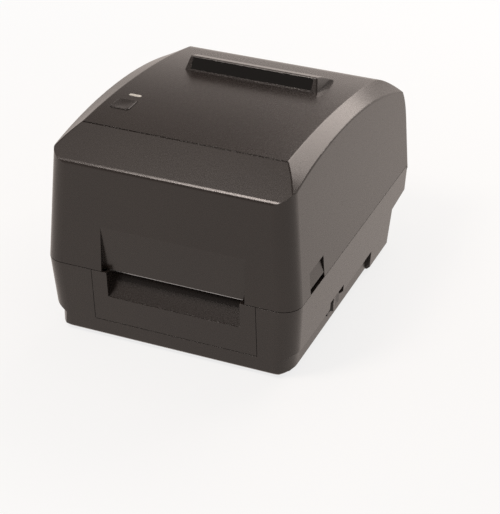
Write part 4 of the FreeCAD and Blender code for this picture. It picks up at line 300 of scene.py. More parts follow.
@dataclass(frozen=True)
class Finish(ABC):
    """A real material: what it is called, its colour and how its surface answers light.

    The radius of its softened edges, and the spacings and depths of its pattern, are millimetres.
    """

    name: str
    colour: str
    roughness: float
    metallic: float = 0.0
    edge: float = 0.35

    def material(self) -> bpy.types.Material:
        """Make the material, or find it where it has been made.

        Returns:
            The node material of this finish.
        """
        made = bpy.data.materials.get(self.name)
        if made is not None:
            return made
        made = bpy.data.materials.new(self.name)
        made.use_nodes = True
        tree = made.node_tree
        shader = tree.nodes["Principled BSDF"]
        shader.inputs["Base Color"].default_value = linear(self.colour)
        shader.inputs["Roughness"].default_value = self.roughness
        shader.inputs["Metallic"].default_value = self.metallic
        self.pattern(tree, shader)
        return made

    @abstractmethod
    def pattern(self, tree: bpy.types.NodeTree, shader: bpy.types.Node) -> None:
        """Add the surface's pattern.

        Args:
            tree: The material's tree.
            shader: Its surface shader.
        """

    def relief(self, tree: bpy.types.NodeTree, shader: bpy.types.Node, height: bpy.types.NodeSocket,
               depth: float) -> None:
        """Raise a pattern on the surface, over edges softened as a mould or a file leaves them.

        Args:
            tree: The material's tree.
            shader: Its surface shader.
            height: The pattern, from 0 to 1.
            depth: Its height in millimetres.
        """
        soft = add_node(tree, "ShaderNodeBevel", {"Radius": self.edge * MM}, samples=4)
        bump = add_node(tree, "ShaderNodeBump", {"Strength": 1.0, "Distance": depth * MM, "Height": height,
                                                 "Normal": soft.outputs["Normal"]})
        tree.links.new(bump.outputs["Normal"], shader.inputs["Normal"])


@dataclass(frozen=True)
class MouldedPlastic(Finish):
    """A moulded piece: a spark-eroded grain from the tool, and faint flow clouds in its colour."""

    cloud_colour: str = "000000"
    grain: float = 1.1
    grain_depth: float = 0.008
    gloss_swing: float = 0.05
    cloud: float = 60.0

    def pattern(self, tree: bpy.types.NodeTree, shader: bpy.types.Node) -> None:
        """Add the mould grain, drawn coarser than the real 0.2 mm so that it shows, and the flow clouds.

        Args:
            tree: The material's tree.
            shader: Its surface shader.
        """
        place = add_node(tree, "ShaderNodeTexCoord").outputs["Object"]
        grain = add_node(tree, "ShaderNodeTexNoise", {"Vector": place, "Scale": per_metre(self.grain),
                                                      "Detail": 3.0, "Roughness": 0.6})
        clouds = add_node(tree, "ShaderNodeTexNoise", {"Vector": place, "Scale": per_metre(self.cloud),
                                                       "Detail": 4.0, "Roughness": 0.55})
        share = add_node(tree, "ShaderNodeMapRange", {"Value": clouds.outputs["Fac"], **NOISE_SPAN})
        tint = add_node(tree, "ShaderNodeMix", {"Factor": share.outputs["Result"], "A": linear(self.colour),
                                                "B": linear(self.cloud_colour)}, data_type="RGBA")
        tree.links.new(tint.outputs["Result"], shader.inputs["Base Color"])
        gloss = add_node(tree, "ShaderNodeMapRange", {"Value": grain.outputs["Fac"], **NOISE_SPAN,
                                                      "To Min": self.roughness - self.gloss_swing,
                                                      "To Max": self.roughness + self.gloss_swing})
        tree.links.new(gloss.outputs["Result"], shader.inputs["Roughness"])
        self.relief(tree, shader, grain.outputs["Fac"], self.grain_depth)


@dataclass(frozen=True)
class BrushedMetal(Finish):
    """A rolled or ground metal: fine scratches that run along X, and patches of duller plating."""

    dull_colour: str = "9a9c9e"
    scratch: float = 0.4
    scratch_depth: float = 0.01
    stretch: float = 40.0
    patch: float = 9.0
    brighter: float = 0.08
    duller: float = 0.1

    def pattern(self, tree: bpy.types.NodeTree, shader: bpy.types.Node) -> None:
        """Add scratches, drawn wider apart than the real 0.05 mm so that they show, and duller patches.

        Args:
            tree: The material's tree.
            shader: Its surface shader.
        """
        place = add_node(tree, "ShaderNodeTexCoord").outputs["Object"]
        drawn = add_node(tree, "ShaderNodeMapping", {"Vector": place, "Scale": (1 / self.stretch, 1.0, 1.0)})
        lines = add_node(tree, "ShaderNodeTexNoise", {"Vector": drawn.outputs["Vector"],
                                                      "Scale": per_metre(self.scratch), "Detail": 2.0})
        patches = add_node(tree, "ShaderNodeTexNoise", {"Vector": place, "Scale": per_metre(self.patch),
                                                        "Detail": 3.0})
        tint = add_node(tree, "ShaderNodeMix", {"Factor": patches.outputs["Fac"], "A": linear(self.colour),
                                                "B": linear(self.dull_colour)}, data_type="RGBA")
        tree.links.new(tint.outputs["Result"], shader.inputs["Base Color"])
        gloss = add_node(tree, "ShaderNodeMapRange", {"Value": lines.outputs["Fac"], **NOISE_SPAN,
                                                      "To Min": self.roughness - self.brighter,
                                                      "To Max": self.roughness + self.duller})
        tree.links.new(gloss.outputs["Result"], shader.inputs["Roughness"])
        self.relief(tree, shader, lines.outputs["Fac"], self.scratch_depth)


@dataclass(frozen=True)
class SolderMask(Finish):
    """A glass-epoxy board: green mask over paler copper runs, with bright vias.

    The run's edge and the via's reach are shares of their spacing.
    """

    track_colour: str = "1f6b3a"
    via_colour: str = "b9a36a"
    run: float = 3.2
    run_edge: tuple[float, float] = (0.05, 0.09)
    run_height: float = 0.02
    via: float = 4.0
    via_reach: float = 0.12

    def pattern(self, tree: bpy.types.NodeTree, shader: bpy.types.Node) -> None:
        """Add square runs of copper and dots of vias, drawn wider apart than real ones so that they show.

        Args:
            tree: The material's tree.
            shader: Its surface shader.
        """
        place = add_node(tree, "ShaderNodeTexCoord").outputs["Object"]
        runs = add_node(tree, "ShaderNodeTexVoronoi", {"Vector": place, "Scale": per_metre(self.run)},
                        distance="MANHATTAN", feature="DISTANCE_TO_EDGE")
        near, far = self.run_edge
        copper = add_node(tree, "ShaderNodeMapRange", {"Value": runs.outputs["Distance"], "From Min": near,
                                                       "From Max": far, "To Min": 1.0, "To Max": 0.0})
        cells = add_node(tree, "ShaderNodeTexVoronoi", {"Vector": place, "Scale": per_metre(self.via)})
        via = add_node(tree, "ShaderNodeMath", {0: cells.outputs["Distance"], 1: self.via_reach},
                       operation="LESS_THAN")
        mask = add_node(tree, "ShaderNodeMix", {"Factor": copper.outputs["Result"], "A": linear(self.colour),
                                                "B": linear(self.track_colour)}, data_type="RGBA")
        tint = add_node(tree, "ShaderNodeMix", {"Factor": via.outputs["Value"], "A": mask.outputs["Result"],
                                                "B": linear(self.via_colour)}, data_type="RGBA")
        tree.links.new(tint.outputs["Result"], shader.inputs["Base Color"])
        self.relief(tree, shader, copper.outputs["Result"], self.run_height)


@dataclass(frozen=True)
class SmokedAcrylic(Finish):
    """A tinted acrylic pane: glossy, with only a little light through it and faint wiping marks."""

    clear: float = 0.25
    ior: float = 1.49
    smear: float = 12.0
    smear_gloss: float = 0.06
    smear_depth: float = 0.004

    def pattern(self, tree: bpy.types.NodeTree, shader: bpy.types.Node) -> None:
        """Let some light through and vary the gloss in smears.

        Args:
            tree: The material's tree.
            shader: Its surface shader.
        """
        shader.inputs["Transmission Weight"].default_value = self.clear
        shader.inputs["IOR"].default_value = self.ior
        place = add_node(tree, "ShaderNodeTexCoord").outputs["Object"]
        smear = add_node(tree, "ShaderNodeTexNoise", {"Vector": place, "Scale": per_metre(self.smear),
                                                      "Detail": 2.0})
        gloss = add_node(tree, "ShaderNodeMapRange", {"Value": smear.outputs["Fac"], "To Min": self.roughness,
                                                      "To Max": self.roughness + self.smear_gloss})
        tree.links.new(gloss.outputs["Result"], shader.inputs["Roughness"])
        self.relief(tree, shader, smear.outputs["Fac"], self.smear_depth)


# Spark-eroded ABS: nearly black, with a satin gloss that takes its grey from what is round it.
CASE_ABS = MouldedPlastic("charcoal_abs_textured", "25201d", 0.26, cloud_colour="211c1a")
# The key is moulded in the same ABS from a tool with a deeper grain, so it is a shade darker and softer.
KEY_ABS = MouldedPlastic("charcoal_abs_key", "1f1a18", 0.28, cloud_colour="1b1715", grain_depth=0.015)
# The inside mouldings come from a blasted tool, which leaves them matt.
TRAY_ABS = MouldedPlastic("black_abs_tray", "1f1e1d", 0.46, cloud_colour="1a1918")
# Glass-filled nylon: black, with a faint pale bloom of fibres at the skin.
NYLON = MouldedPlastic("black_nylon", "161514", 0.38, cloud_colour="1b1a19", grain_depth=0.01)
# Undyed acetal: milky, waxy and smooth, as small gears are.
ACETAL = MouldedPlastic("natural_acetal", "dcd8c9", 0.4, cloud_colour="d2cdbc", edge=0.15)
# Nitrile rubber: dull, dark and faintly dusty.
RUBBER = MouldedPlastic("nitrile_rubber", "1d1c1c", 0.75, cloud_colour="262423", grain=0.7, grain_depth=0.03)
# A frosted polycarbonate light pipe: pale and soft, unlit.
LIGHT_PIPE = MouldedPlastic("frosted_light_pipe", "c6c6c1", 0.3, cloud_colour="babab4", grain_depth=0.004)
# Fired alumina under a glass glaze: ivory and glossy.
CERAMIC = MouldedPlastic("alumina_ceramic", "d9d3c4", 0.25, cloud_colour="cfc8b6", grain_depth=0.004,
                         edge=0.1)
# Rolled sheet and ground rod under bright zinc: fine lines one way, and cloudy plating.
STEEL = BrushedMetal("zinc_plated_steel", "c4c6c8", 0.34, metallic=1.0, edge=0.2)
# Bare extrusion: paler than the steel, with die lines.
ALUMINIUM = BrushedMetal("extruded_aluminium", "d3d4d5", 0.3, metallic=1.0, dull_colour="b7b9bb", edge=0.2)
# Nickel on a stamped shell: bright and a little yellow.
NICKEL = BrushedMetal("nickel_plated_shell", "d0cec8", 0.24, metallic=1.0, dull_colour="b9b6ae", edge=0.15)
# A thin flash of gold over nickel: warm and bright.
GOLD = BrushedMetal("gold_flashed_contact", "d9b25a", 0.22, metallic=1.0, dull_colour="c49c4a", edge=0.05)
# Green mask over copper: runs show as paler lines and vias as bright dots.
BOARD = SolderMask("green_solder_mask", "0e3d22", 0.35, edge=0.1)
# Cast acrylic with a black dye: a dark mirror.
WINDOW = SmokedAcrylic("smoked_acrylic", "0c0b0a", 0.05, edge=0.2)

NODE_FINISHES: dict[Finish, tuple[str, ...]] = {
    CASE_ABS: ("lower_case", "top_cover", "front_exit_panel", "latch_tab_left", "latch_tab_right"),
    KEY_ABS: ("feed_button",),
    TRAY_ABS: ("media_tray", "roll_holder_left", "roll_holder_right", "ribbon_supply_spindle",
               "ribbon_takeup_spindle"),
    NYLON: ("dc_inlet", "switch_frame", "power_rocker", "media_sensor"),
    ACETAL: ("platen_bushes", "platen_gear", "idler_gear", "holder_pinion", "takeup_gear",
             "ribbon_drive_gear"),
    RUBBER: ("rubber_feet", "platen_roller"),
    LIGHT_PIPE: ("led_lens",),
    STEEL: ("gear_plate", "platen_bracket", "tear_bar", "stepper_motor", "idler_stud", "pinion_stud",
            "case_screws", "hinge_pins", "latch_keepers", "latch_pins", "ribbon_plate_left",
            "ribbon_plate_right", "ribbon_cross_plate", "ribbon_guide_rods", "ribbon_drive_stud",
            "head_shaft", "platen_shaft", "motor_pinion", "head_bracket", "head_spring"),
    ALUMINIUM: ("heat_sink",),
    NICKEL: ("usb_port", "serial_port"),
    CERAMIC: ("print_head",),
    BOARD: ("main_board", "port_board", "control_board"),
    WINDOW: ("media_window",),
}


@dataclass(frozen=True)
class SoftBox:
    """An area lamp that faces the object: its place, width and height in millimetres, and its watts."""

    name: str
    place: tuple[float, float, float]
    size: tuple[float, float]
    power: float

    def hang(self, target: tuple[float, float, float]) -> None:
        """Put the lamp in its place, turned to the target.

        Args:
            target: The point that it faces.
        """
        lamp = bpy.data.lights.new(self.name, "AREA")
        lamp.shape = "RECTANGLE"
        lamp.size, lamp.size_y = (side * MM for side in self.size)
        lamp.energy = self.power
        lamp.color = linear(WARM_WHITE)[:3]
        holder = bpy.data.objects.new(self.name, lamp)
        aim = np.array(target) - np.array(self.place)
        holder.location = np.array(self.place) * MM
        holder.rotation_euler = (math.pi / 2 + math.atan2(aim[2], math.hypot(aim[0], aim[1])), 0.0,
                                 math.atan2(-aim[0], aim[1]))
        bpy.context.scene.collection.objects.link(holder)


SOFT_BOXES = (
    SoftBox("rear_softbox", (300.0, 1130.0, 940.0), (1200.0, 900.0), 14.5),
    SoftBox("front_strip_light", (-330.0, -566.0, 1217.0), (260.0, 420.0), 8.0),
    SoftBox("overhead_softbox", (-450.0, 0.0, 1350.0), (900.0, 900.0), 1.5),
)


@dataclass(frozen=True)
class Studio:
    """The photograph's camera, a pale floor and soft lamps round the object.

    The camera was fitted to the photograph: angles in degrees, distance in millimetres, and the focal length
    and principal point in its pixels.
    """

    azimuth: float = 23.29
    elevation: float = 29.05
    distance: float = 1545.0
    target: tuple[float, float, float] = (3.78, -2.0, 78.17)
    focal_pixels: float = 1758.15
    principal: tuple[float, float] = (238.04, 199.9)
    image: tuple[int, int] = (500, 514)
    sensor: float = 36.0
    floor_half: float = 4000.0
    paper: str = "e6e4e1"
    paper_roughness: float = 0.9
    paper_fade: tuple[float, float] = (200.0, 1200.0)
    paper_glow: tuple[float, float] = (0.8, 1.0)
    ceiling: float = 0.32
    ceiling_fade: tuple[float, float] = (0.06, 0.42)

    def place_camera(self) -> None:
        """Set the camera so that the focal length and principal point fall where the photograph has them."""
        turn = math.radians(self.azimuth)
        rise = math.radians(self.elevation)
        reach = self.distance * math.cos(rise)
        offset = np.array([reach * math.sin(turn), -reach * math.cos(turn), self.distance * math.sin(rise)])
        data = bpy.data.cameras.new("photo_camera")
        long_side = max(self.image)
        data.sensor_width = self.sensor
        data.lens = self.focal_pixels / long_side * data.sensor_width
        data.shift_x = (self.image[0] / 2 - self.principal[0]) / long_side
        data.shift_y = (self.principal[1] - self.image[1] / 2) / long_side
        camera = bpy.data.objects.new("photo_camera", data)
        camera.location = (np.array(self.target) + offset) * MM
        camera.rotation_euler = (math.pi / 2 - rise, 0.0, turn)
        bpy.context.scene.collection.objects.link(camera)
        bpy.context.scene.camera = camera

    def lay_floor(self) -> None:
        """Lay a pale sweep that shows white to the camera and still takes the object's shadow.

        The share of white grows to all of it with the distance from the object, so the sweep has no horizon.
        """
        half = self.floor_half * MM
        corners = [(-half, -half, 0.0), (half, -half, 0.0), (half, half, 0.0), (-half, half, 0.0)]
        mesh = bpy.data.meshes.new("studio_floor")
        mesh.from_pydata(corners, [], [(0, 1, 2, 3)])
        floor = bpy.data.objects.new("studio_floor", mesh)
        bpy.context.scene.collection.objects.link(floor)
        material = bpy.data.materials.new("white_paper_sweep")
        material.use_nodes = True
        tree = material.node_tree
        shader = tree.nodes["Principled BSDF"]
        shader.inputs["Base Color"].default_value = linear(self.paper)
        shader.inputs["Roughness"].default_value = self.paper_roughness
        path = add_node(tree, "ShaderNodeLightPath")
        seen = add_node(tree, "ShaderNodeMath", {0: path.outputs["Is Camera Ray"],
                                                 1: path.outputs["Is Glossy Ray"]}, operation="MAXIMUM")
        any_seen = add_node(tree, "ShaderNodeMath", {0: seen.outputs["Value"],
                                                     1: path.outputs["Is Transmission Ray"]},
                            operation="MAXIMUM")
        place = add_node(tree, "ShaderNodeTexCoord").outputs["Object"]
        away = add_node(tree, "ShaderNodeVectorMath", {"Vector": place}, operation="LENGTH").outputs["Value"]
        near, far = self.paper_fade
        least, most = self.paper_glow
        glow = add_node(tree, "ShaderNodeMapRange", {"Value": away, "From Min": near * MM,
                                                     "From Max": far * MM, "To Min": least, "To Max": most})
        share = add_node(tree, "ShaderNodeMath", {0: any_seen.outputs["Value"], 1: glow.outputs["Result"]},
                         operation="MULTIPLY")
        shown = add_node(tree, "ShaderNodeMix", {"Factor": path.outputs["Is Camera Ray"],
                                                 "A": linear(WARM_WHITE), "B": linear(WHITE)},
                         data_type="RGBA")
        white = add_node(tree, "ShaderNodeEmission", {"Color": shown.outputs["Result"], "Strength": 1.0})
        mixed = add_node(tree, "ShaderNodeMixShader", {"Fac": share.outputs["Value"],
                                                       1: shader.outputs["BSDF"],
                                                       2: white.outputs["Emission"]})
        tree.links.new(mixed.outputs["Shader"], tree.nodes["Material Output"].inputs["Surface"])
        mesh.materials.append(material)

    def light(self) -> None:
        """Hang the soft boxes, and set a room with a white sweep round its foot and a dim ceiling.

        What a mirrored ray sees falls from white at the horizon to the ceiling's level, with the height it
        points to.
        """
        for box in SOFT_BOXES:
            box.hang(self.target)
        world = bpy.data.worlds.new("white_room")
        bpy.context.scene.world = world
        world.use_nodes = True
        tree = world.node_tree
        ground = tree.nodes["Background"]
        path = add_node(tree, "ShaderNodeLightPath")
        shown = add_node(tree, "ShaderNodeMix", {"Factor": path.outputs["Is Camera Ray"],
                                                 "A": linear(WARM_WHITE), "B": linear(WHITE)},
                         data_type="RGBA")
        tree.links.new(shown.outputs["Result"], ground.inputs["Color"])
        toward = add_node(tree, "ShaderNodeTexCoord").outputs["Generated"]
        height = add_node(tree, "ShaderNodeSeparateXYZ", {"Vector": toward}).outputs["Z"]
        low, high = self.ceiling_fade
        room = add_node(tree, "ShaderNodeMapRange", {"Value": height, "From Min": low, "From Max": high,
                                                     "To Min": 1.0, "To Max": self.ceiling})
        mirrored = add_node(tree, "ShaderNodeMix", {"Factor": path.outputs["Is Glossy Ray"],
                                                    "A": self.ceiling, "B": room.outputs["Result"]})
        through = add_node(tree, "ShaderNodeMath", {0: path.outputs["Is Camera Ray"],
                                                    1: path.outputs["Is Transmission Ray"]},
                           operation="MAXIMUM")
        level = add_node(tree, "ShaderNodeMix", {"Factor": through.outputs["Value"],
                                                 "A": mirrored.outputs["Result"], "B": 1.0})
        tree.links.new(level.outputs["Result"], ground.inputs["Strength"])

    def build(self) -> None:
        """Set the view transform and put the camera, the floor and the lamps in place."""
        bpy.context.scene.view_settings.view_transform = "Standard"
        self.place_camera()
        self.lay_floor()
        self.light()


def add_piece(name: str, surface: Surface, finish: Finish, body: str, slot: str, *nodes: str) -> None:
    """Make a piece from a surface, dress it and let it ride.

    Args:
        name: The piece's name.
        surface: Its vertices in millimetres, and its quads.
        finish: What it is made of.
        body: The CAD body that it moves with.
        slot: The name of the record's material slot; it is not used.
        nodes: The CAD nodes that it stands for.
    """
    points, quads = surface
    mesh = bpy.data.meshes.new(name)
    mesh.from_pydata((points * MM).tolist(), [], quads.tolist())
    work = bmesh.new()
    work.from_mesh(mesh)
    bmesh.ops.remove_doubles(work, verts=work.verts, dist=WELD * MM)
    bmesh.ops.dissolve_degenerate(work, edges=work.edges, dist=WELD * MM)
    bmesh.ops.recalc_face_normals(work, faces=work.faces)
    work.to_mesh(mesh)
    work.free()
    mesh.shade_smooth()
    mesh.set_sharp_from_angle(angle=SHARP)
    mesh.materials.append(finish.material())
    piece = bpy.data.objects.new(name, mesh)
    bpy.context.scene.collection.objects.link(piece)
    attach(piece, body)
    if nodes:
        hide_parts(*nodes)
    LOG.info("%s: %d faces, %s, rides on %s", name, len(mesh.polygons), finish.name, body)


@dataclass(frozen=True)
class FeedKey:
    """The feed key: a shallow dished cap with a rolled rim, a flange under the cover and a stem."""

    cap: tuple[float, float, float] = (8.5, 9.5, 2.5)
    rim_roll: float = 0.6
    roll_points: int = 6
    side_points: int = 12
    dish: float = 0.55
    flange_drop: float = 3.4
    flange_thick: float = 1.5
    stem_radius: float = 3.0
    slope: float = -0.0115

    def build(self) -> None:
        """Stack the stem, the flange, the cap's wall, its rolled rim and its face.

        The face dips with (1 - u^2)(1 - v^2), where u and v run from -1 to 1 between its rims, and all that
        is above the flange leans with the cover.
        """
        seat = Seat.of("feed_button")
        wide, deep, radius = self.cap
        low, top = seat.low[2], seat.high[2]
        flange_top = top - self.flange_drop
        flange_low = flange_top - self.flange_thick
        flange_wide, flange_deep = (seat.high - seat.low)[:2] / 2
        stem = rounds([(low, 0.0), (low, self.stem_radius), (flange_low, self.stem_radius)])
        flange = [(flange_low, flange_wide, flange_deep, radius),
                  (flange_top, flange_wide, flange_deep, radius),
                  (flange_top, wide, deep, radius), (top - self.rim_roll, wide, deep, radius)]
        rise, inset = (edge[1:] for edge in quarter(self.rim_roll, self.roll_points))
        roll = np.stack([top - self.rim_roll + rise, wide - inset, deep - inset, radius - inset], axis=-1)
        rim = np.array([wide, deep, radius]) - self.rim_roll
        face = dished(top, 0.0, *rim)[1:]
        points, quads = stacked(np.vstack([stem, flange, roll, face]), seat.axis, side=self.side_points)
        inward = 1 - np.clip((points - seat.axis)[:, :2] / rim[:2], -1.0, 1.0) ** 2
        points[:, 2] -= np.where(points[:, 2] > top - WELD, self.dish * inward.prod(axis=1), 0.0)
        above = points[:, 2] > flange_top + WELD
        points[:, 2] += np.where(above, (points[:, 1] - seat.middle[1]) * self.slope, 0.0)
        add_piece("feed_key_cap", (points, quads), KEY_ABS, "feed_button", "case_plastic", "feed_button")


@dataclass(frozen=True)
class IndicatorLens:
    """The indicator's light pipe: a long rounded lens with a crowned face, and a lip under the cover."""

    face: tuple[float, float] = (5.75, 2.0)
    lip_thick: float = 1.4
    crown: float = 0.35
    slope: float = -0.036

    def build(self) -> None:
        """Stack the lip, the wall and the crown, and lean what is above the lip with the cover."""
        seat = Seat.of("led_lens")
        wide, deep = self.face
        low, top = seat.low[2], seat.high[2]
        lip = low + self.lip_thick
        lip_wide, lip_deep = (seat.high - seat.low)[:2] / 2
        edge = top - self.crown
        rows = [(low, 0.0, 0.0, 0.0), (low, lip_wide, lip_deep, deep), (lip, lip_wide, lip_deep, deep),
                (lip, wide, deep, deep), (edge, wide, deep, deep)]
        levels = np.vstack([rows, dished(edge, -self.crown, wide, deep, deep)[1:]])
        points, quads = stacked(levels, seat.axis)
        above = points[:, 2] > lip + WELD
        points[:, 2] += np.where(above, (points[:, 1] - seat.middle[1]) * self.slope, 0.0)
        add_piece("indicator_light_pipe", (points, quads), LIGHT_PIPE, "cover", "lens", "led_lens")


@dataclass(frozen=True)
class RubberFeet:
    """Four rubber feet: a tapered puck with a rounded tread edge, a ring groove and a hollow middle.

    The groove has its radius, half width and depth, and the hollow its radius and depth.
    """

    apart: float = 40.0
    taper: float = 0.6
    tread_round: float = 0.8
    round_points: int = 6
    groove: tuple[float, float, float] = (4.6, 0.5, 0.45)
    hollow: tuple[float, float] = (2.2, 0.8)

    def levels(self, radius: float, height: float) -> Array:
        """Follow the puck from the middle of its tread round to the middle of its top.

        Args:
            radius: The radius at the floor of the case.
            height: The puck's height.

        Returns:
            Rows for stacked.
        """
        place, half, deep = self.groove
        hollow, depth = self.hollow
        rise, inset = quarter(self.tread_round, self.round_points)
        edge = np.stack([inset, radius - self.taper - self.tread_round + rise], axis=-1)
        inner = [(depth, 0.0), (depth, hollow - half), (0.0, hollow), (0.0, place - half),
                 (deep, place - half / 2), (deep, place + half / 2), (0.0, place + half)]
        return rounds(np.vstack([inner, edge, [(height, radius), (height, 0.0)]]))

    def build(self, nodes: dict[str, bpy.types.Object]) -> None:
        """Set one puck in each of the lower case's recesses.

        Args:
            nodes: The CAD objects by name.
        """
        seats = Seat.each(nodes["rubber_feet"], self.apart)
        pucks = [stacked(self.levels((seat.high[0] - seat.low[0]) / 2, seat.high[2]), seat.axis)
                 for seat in seats]
        add_piece("moulded_rubber_feet", joined(pucks), RUBBER, "base", "rubber", "rubber_feet")


@dataclass(frozen=True)
class CaseScrews:
    """The case screws: a domed pan head with a cross recess, and a shank with a coarse thread."""

    apart: float = 20.0
    head_height: float = 3.0
    head_points: int = 96
    dome: float = 0.9
    recess: float = 1.3
    arm: float = 0.45
    arm_fade: float = 0.2
    arm_reach: float = 0.62
    reach_fade: float = 0.25
    shank_share: float = 0.44
    pitch: float = 1.35
    pitch_points: int = 8
    thread: float = 0.28

    def head(self, radius: float, rings: int = 28) -> Array:
        """Shape the head's lower face: a dome, pressed in where a cross of two bars lies.

        The depth is the recess where the nearer of the two bars' half widths is inside the arm, faded over a
        fifth of a millimetre, and nothing outside six tenths of the radius.

        Args:
            radius: The head's radius.
            rings: Rings from the middle to the rim.

        Returns:
            A grid of points about the head's middle, with heights from the rim's plane.
        """
        r = np.linspace(0.0, 1.0, rings)[:, None] * radius
        t = np.arange(self.head_points) * (2 * math.pi / self.head_points)
        x, y = r * np.cos(t), r * np.sin(t)
        inside = np.clip((self.arm - np.minimum(np.abs(x), np.abs(y))) / self.arm_fade, 0.0, 1.0)
        reach = np.clip((self.arm_reach * radius - r) / self.reach_fade, 0.0, 1.0)
        crown = self.dome * (1 - (r / radius) ** 2)
        return np.stack([x, y, -(crown - self.recess * inside * reach)], axis=-1)

    def shank(self, seat: Seat, radius: float, count: int = 24) -> Array:
        """Shape the shank: its radius swings with the turn and the height, which makes a helical thread.

        Args:
            seat: The screw's box.
            radius: The shank's radius.
            count: Points round the shank.

        Returns:
            A grid of points about the screw's axis.
        """
        low, high = seat.low[2] + self.head_height, seat.high[2]
        z = np.linspace(low, high, int((high - low) / self.pitch * self.pitch_points))[:, None]
        t = np.arange(count) * (2 * math.pi / count)
        wave = 0.5 + 0.5 * np.cos(t - 2 * math.pi * z / self.pitch)
        taper = np.clip((high - z) / (2 * self.pitch), 0.0, 1.0)
        r = (radius - self.thread * wave) * taper
        return np.stack([r * np.cos(t), r * np.sin(t), np.broadcast_to(z, r.shape)], axis=-1)

    def build(self, nodes: dict[str, bpy.types.Object]) -> None:
        """Set one screw in each boss.

        Args:
            nodes: The CAD objects by name.
        """
        screws = []
        for seat in Seat.each(nodes["case_screws"], self.apart):
            radius = (seat.high[0] - seat.low[0]) / 2
            shank = self.shank_share * radius
            rim, shoulder = seat.low[2] + self.dome, seat.low[2] + self.head_height
            collar = rounds([(rim, radius), (shoulder, radius), (shoulder, shank - self.thread)])
            screws += [grid(self.head(radius) + seat.axis + np.array([0.0, 0.0, rim])),
                       stacked(collar, seat.axis, count=self.head_points),
                       grid(self.shank(seat, shank) + seat.axis)]
        add_piece("cross_head_screws", joined(screws), STEEL, "base", "steel", "case_screws")


@dataclass(frozen=True)
class PlatenSleeve:
    """The platen's rubber sleeve: a ground cylinder with rounded ends and fine grinding ridges."""

    end_round: float = 0.7
    round_points: int = 5
    ridge: float = 1.5
    ridge_height: float = 0.04
    ridge_points: int = 4
    bore: float = 3.0

    def build(self) -> None:
        """Turn the outer face, the rounded ends and the bore about the platen's axis."""
        seat = Seat.of("platen_roller")
        radius = (seat.high[2] - seat.low[2]) / 2
        left, right = seat.low[0], seat.high[0]
        rise, inset = quarter(self.end_round, self.round_points)
        start = np.stack([left + self.end_round - rise, radius - inset], axis=-1)[::-1]
        count = self.ridge_points * int((right - left) / self.ridge)
        run = np.linspace(left + self.end_round, right - self.end_round, count)[1:-1]
        ground = self.ridge_height * (0.5 - 0.5 * np.cos(2 * math.pi * run / self.ridge))
        face = np.stack([run, radius - ground], axis=-1)
        end = np.stack([left + right - start[::-1, 0], start[::-1, 1]], axis=-1)
        bore = [(right, self.bore), (left, self.bore), tuple(start[0])]
        axis = np.array([0.0, seat.middle[1], seat.middle[2]])
        sleeve = stacked(rounds(np.vstack([start, face, end, bore])), axis, Axis.X)
        add_piece("ground_platen_sleeve", sleeve, RUBBER, "platen", "rubber", "platen_roller")


@dataclass(frozen=True)
class PowerRocker:
    """The power switch's rocker: a dished face with rolled ends over a bored keel, its rear end in."""

    half: float = 9.6
    tall: float = 4.9
    face: float = 7.6
    face_points: int = 49
    dip: float = 1.4
    end_roll: float = 0.8
    end_power: int = 16
    shoulder: float = 4.0
    keel: float = 3.0
    back_points: int = 25
    bore: float = 1.6
    edge: float = 0.5
    edge_points: int = 5
    tilt: float = math.radians(8.0)

    def outline(self) -> Array:
        """Draw the plan about the pivot: the face dips with the square of the way in from its ends.

        A high power of the same share rolls the last half millimetre of each end.

        Returns:
            Pairs of outward and lengthwise coordinates, in order round the rocker.
        """
        along = np.linspace(-self.half, self.half, self.face_points)
        share = along / self.half
        out = self.face - self.dip * (1 - share ** 2) - self.end_roll * share ** self.end_power
        bends = np.array([(self.shoulder, self.half), (-self.keel, self.keel), (-self.keel, -self.keel),
                          (self.shoulder, -self.half)])
        steps = np.linspace(0, len(bends) - 1, self.back_points)
        back = [np.interp(steps, np.arange(len(bends)), column) for column in bends.T]
        return np.vstack([np.stack([out, along], axis=-1), np.stack(back, axis=-1)])

    def build(self, record: dict) -> None:
        """Carry the plan up the rocker, drawn in at both ends, and back down the bore, and tilt it.

        Args:
            record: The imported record, which holds the pivot.
        """
        joint = next(j for j in record["behaviour"]["joints"] if j["name"] == "power_rocker_tilt")
        plan = self.outline()
        middle = np.array([self.face / 2, 0.0])
        rise, inset = quarter(self.edge, self.edge_points)
        low = np.stack([self.edge - self.tall - rise, 1 - inset / self.half], axis=-1)[::-1]
        drawn = np.vstack([low, low[::-1] * (-1, 1)])
        wall = middle + (plan - middle)[None] * drawn[:, 1, None, None]
        bore = self.bore * plan / np.linalg.norm(plan, axis=1, keepdims=True)
        spread = np.concatenate([bore[None], wall, bore[None], bore[None]])
        height = np.concatenate([[-self.tall], drawn[:, 0], [self.tall, -self.tall]])[:, None]
        cos, sin = math.cos(self.tilt), math.sin(self.tilt)
        x = spread[..., 0] * cos - spread[..., 1] * sin
        y = spread[..., 0] * sin + spread[..., 1] * cos
        points = np.stack([x, y, np.broadcast_to(height, x.shape)], axis=-1)
        pivot = np.array(joint["pos_m"]) / MM
        add_piece("dished_power_rocker", grid(points + pivot), NYLON, "power_rocker", "black_plastic",
                  "power_rocker")


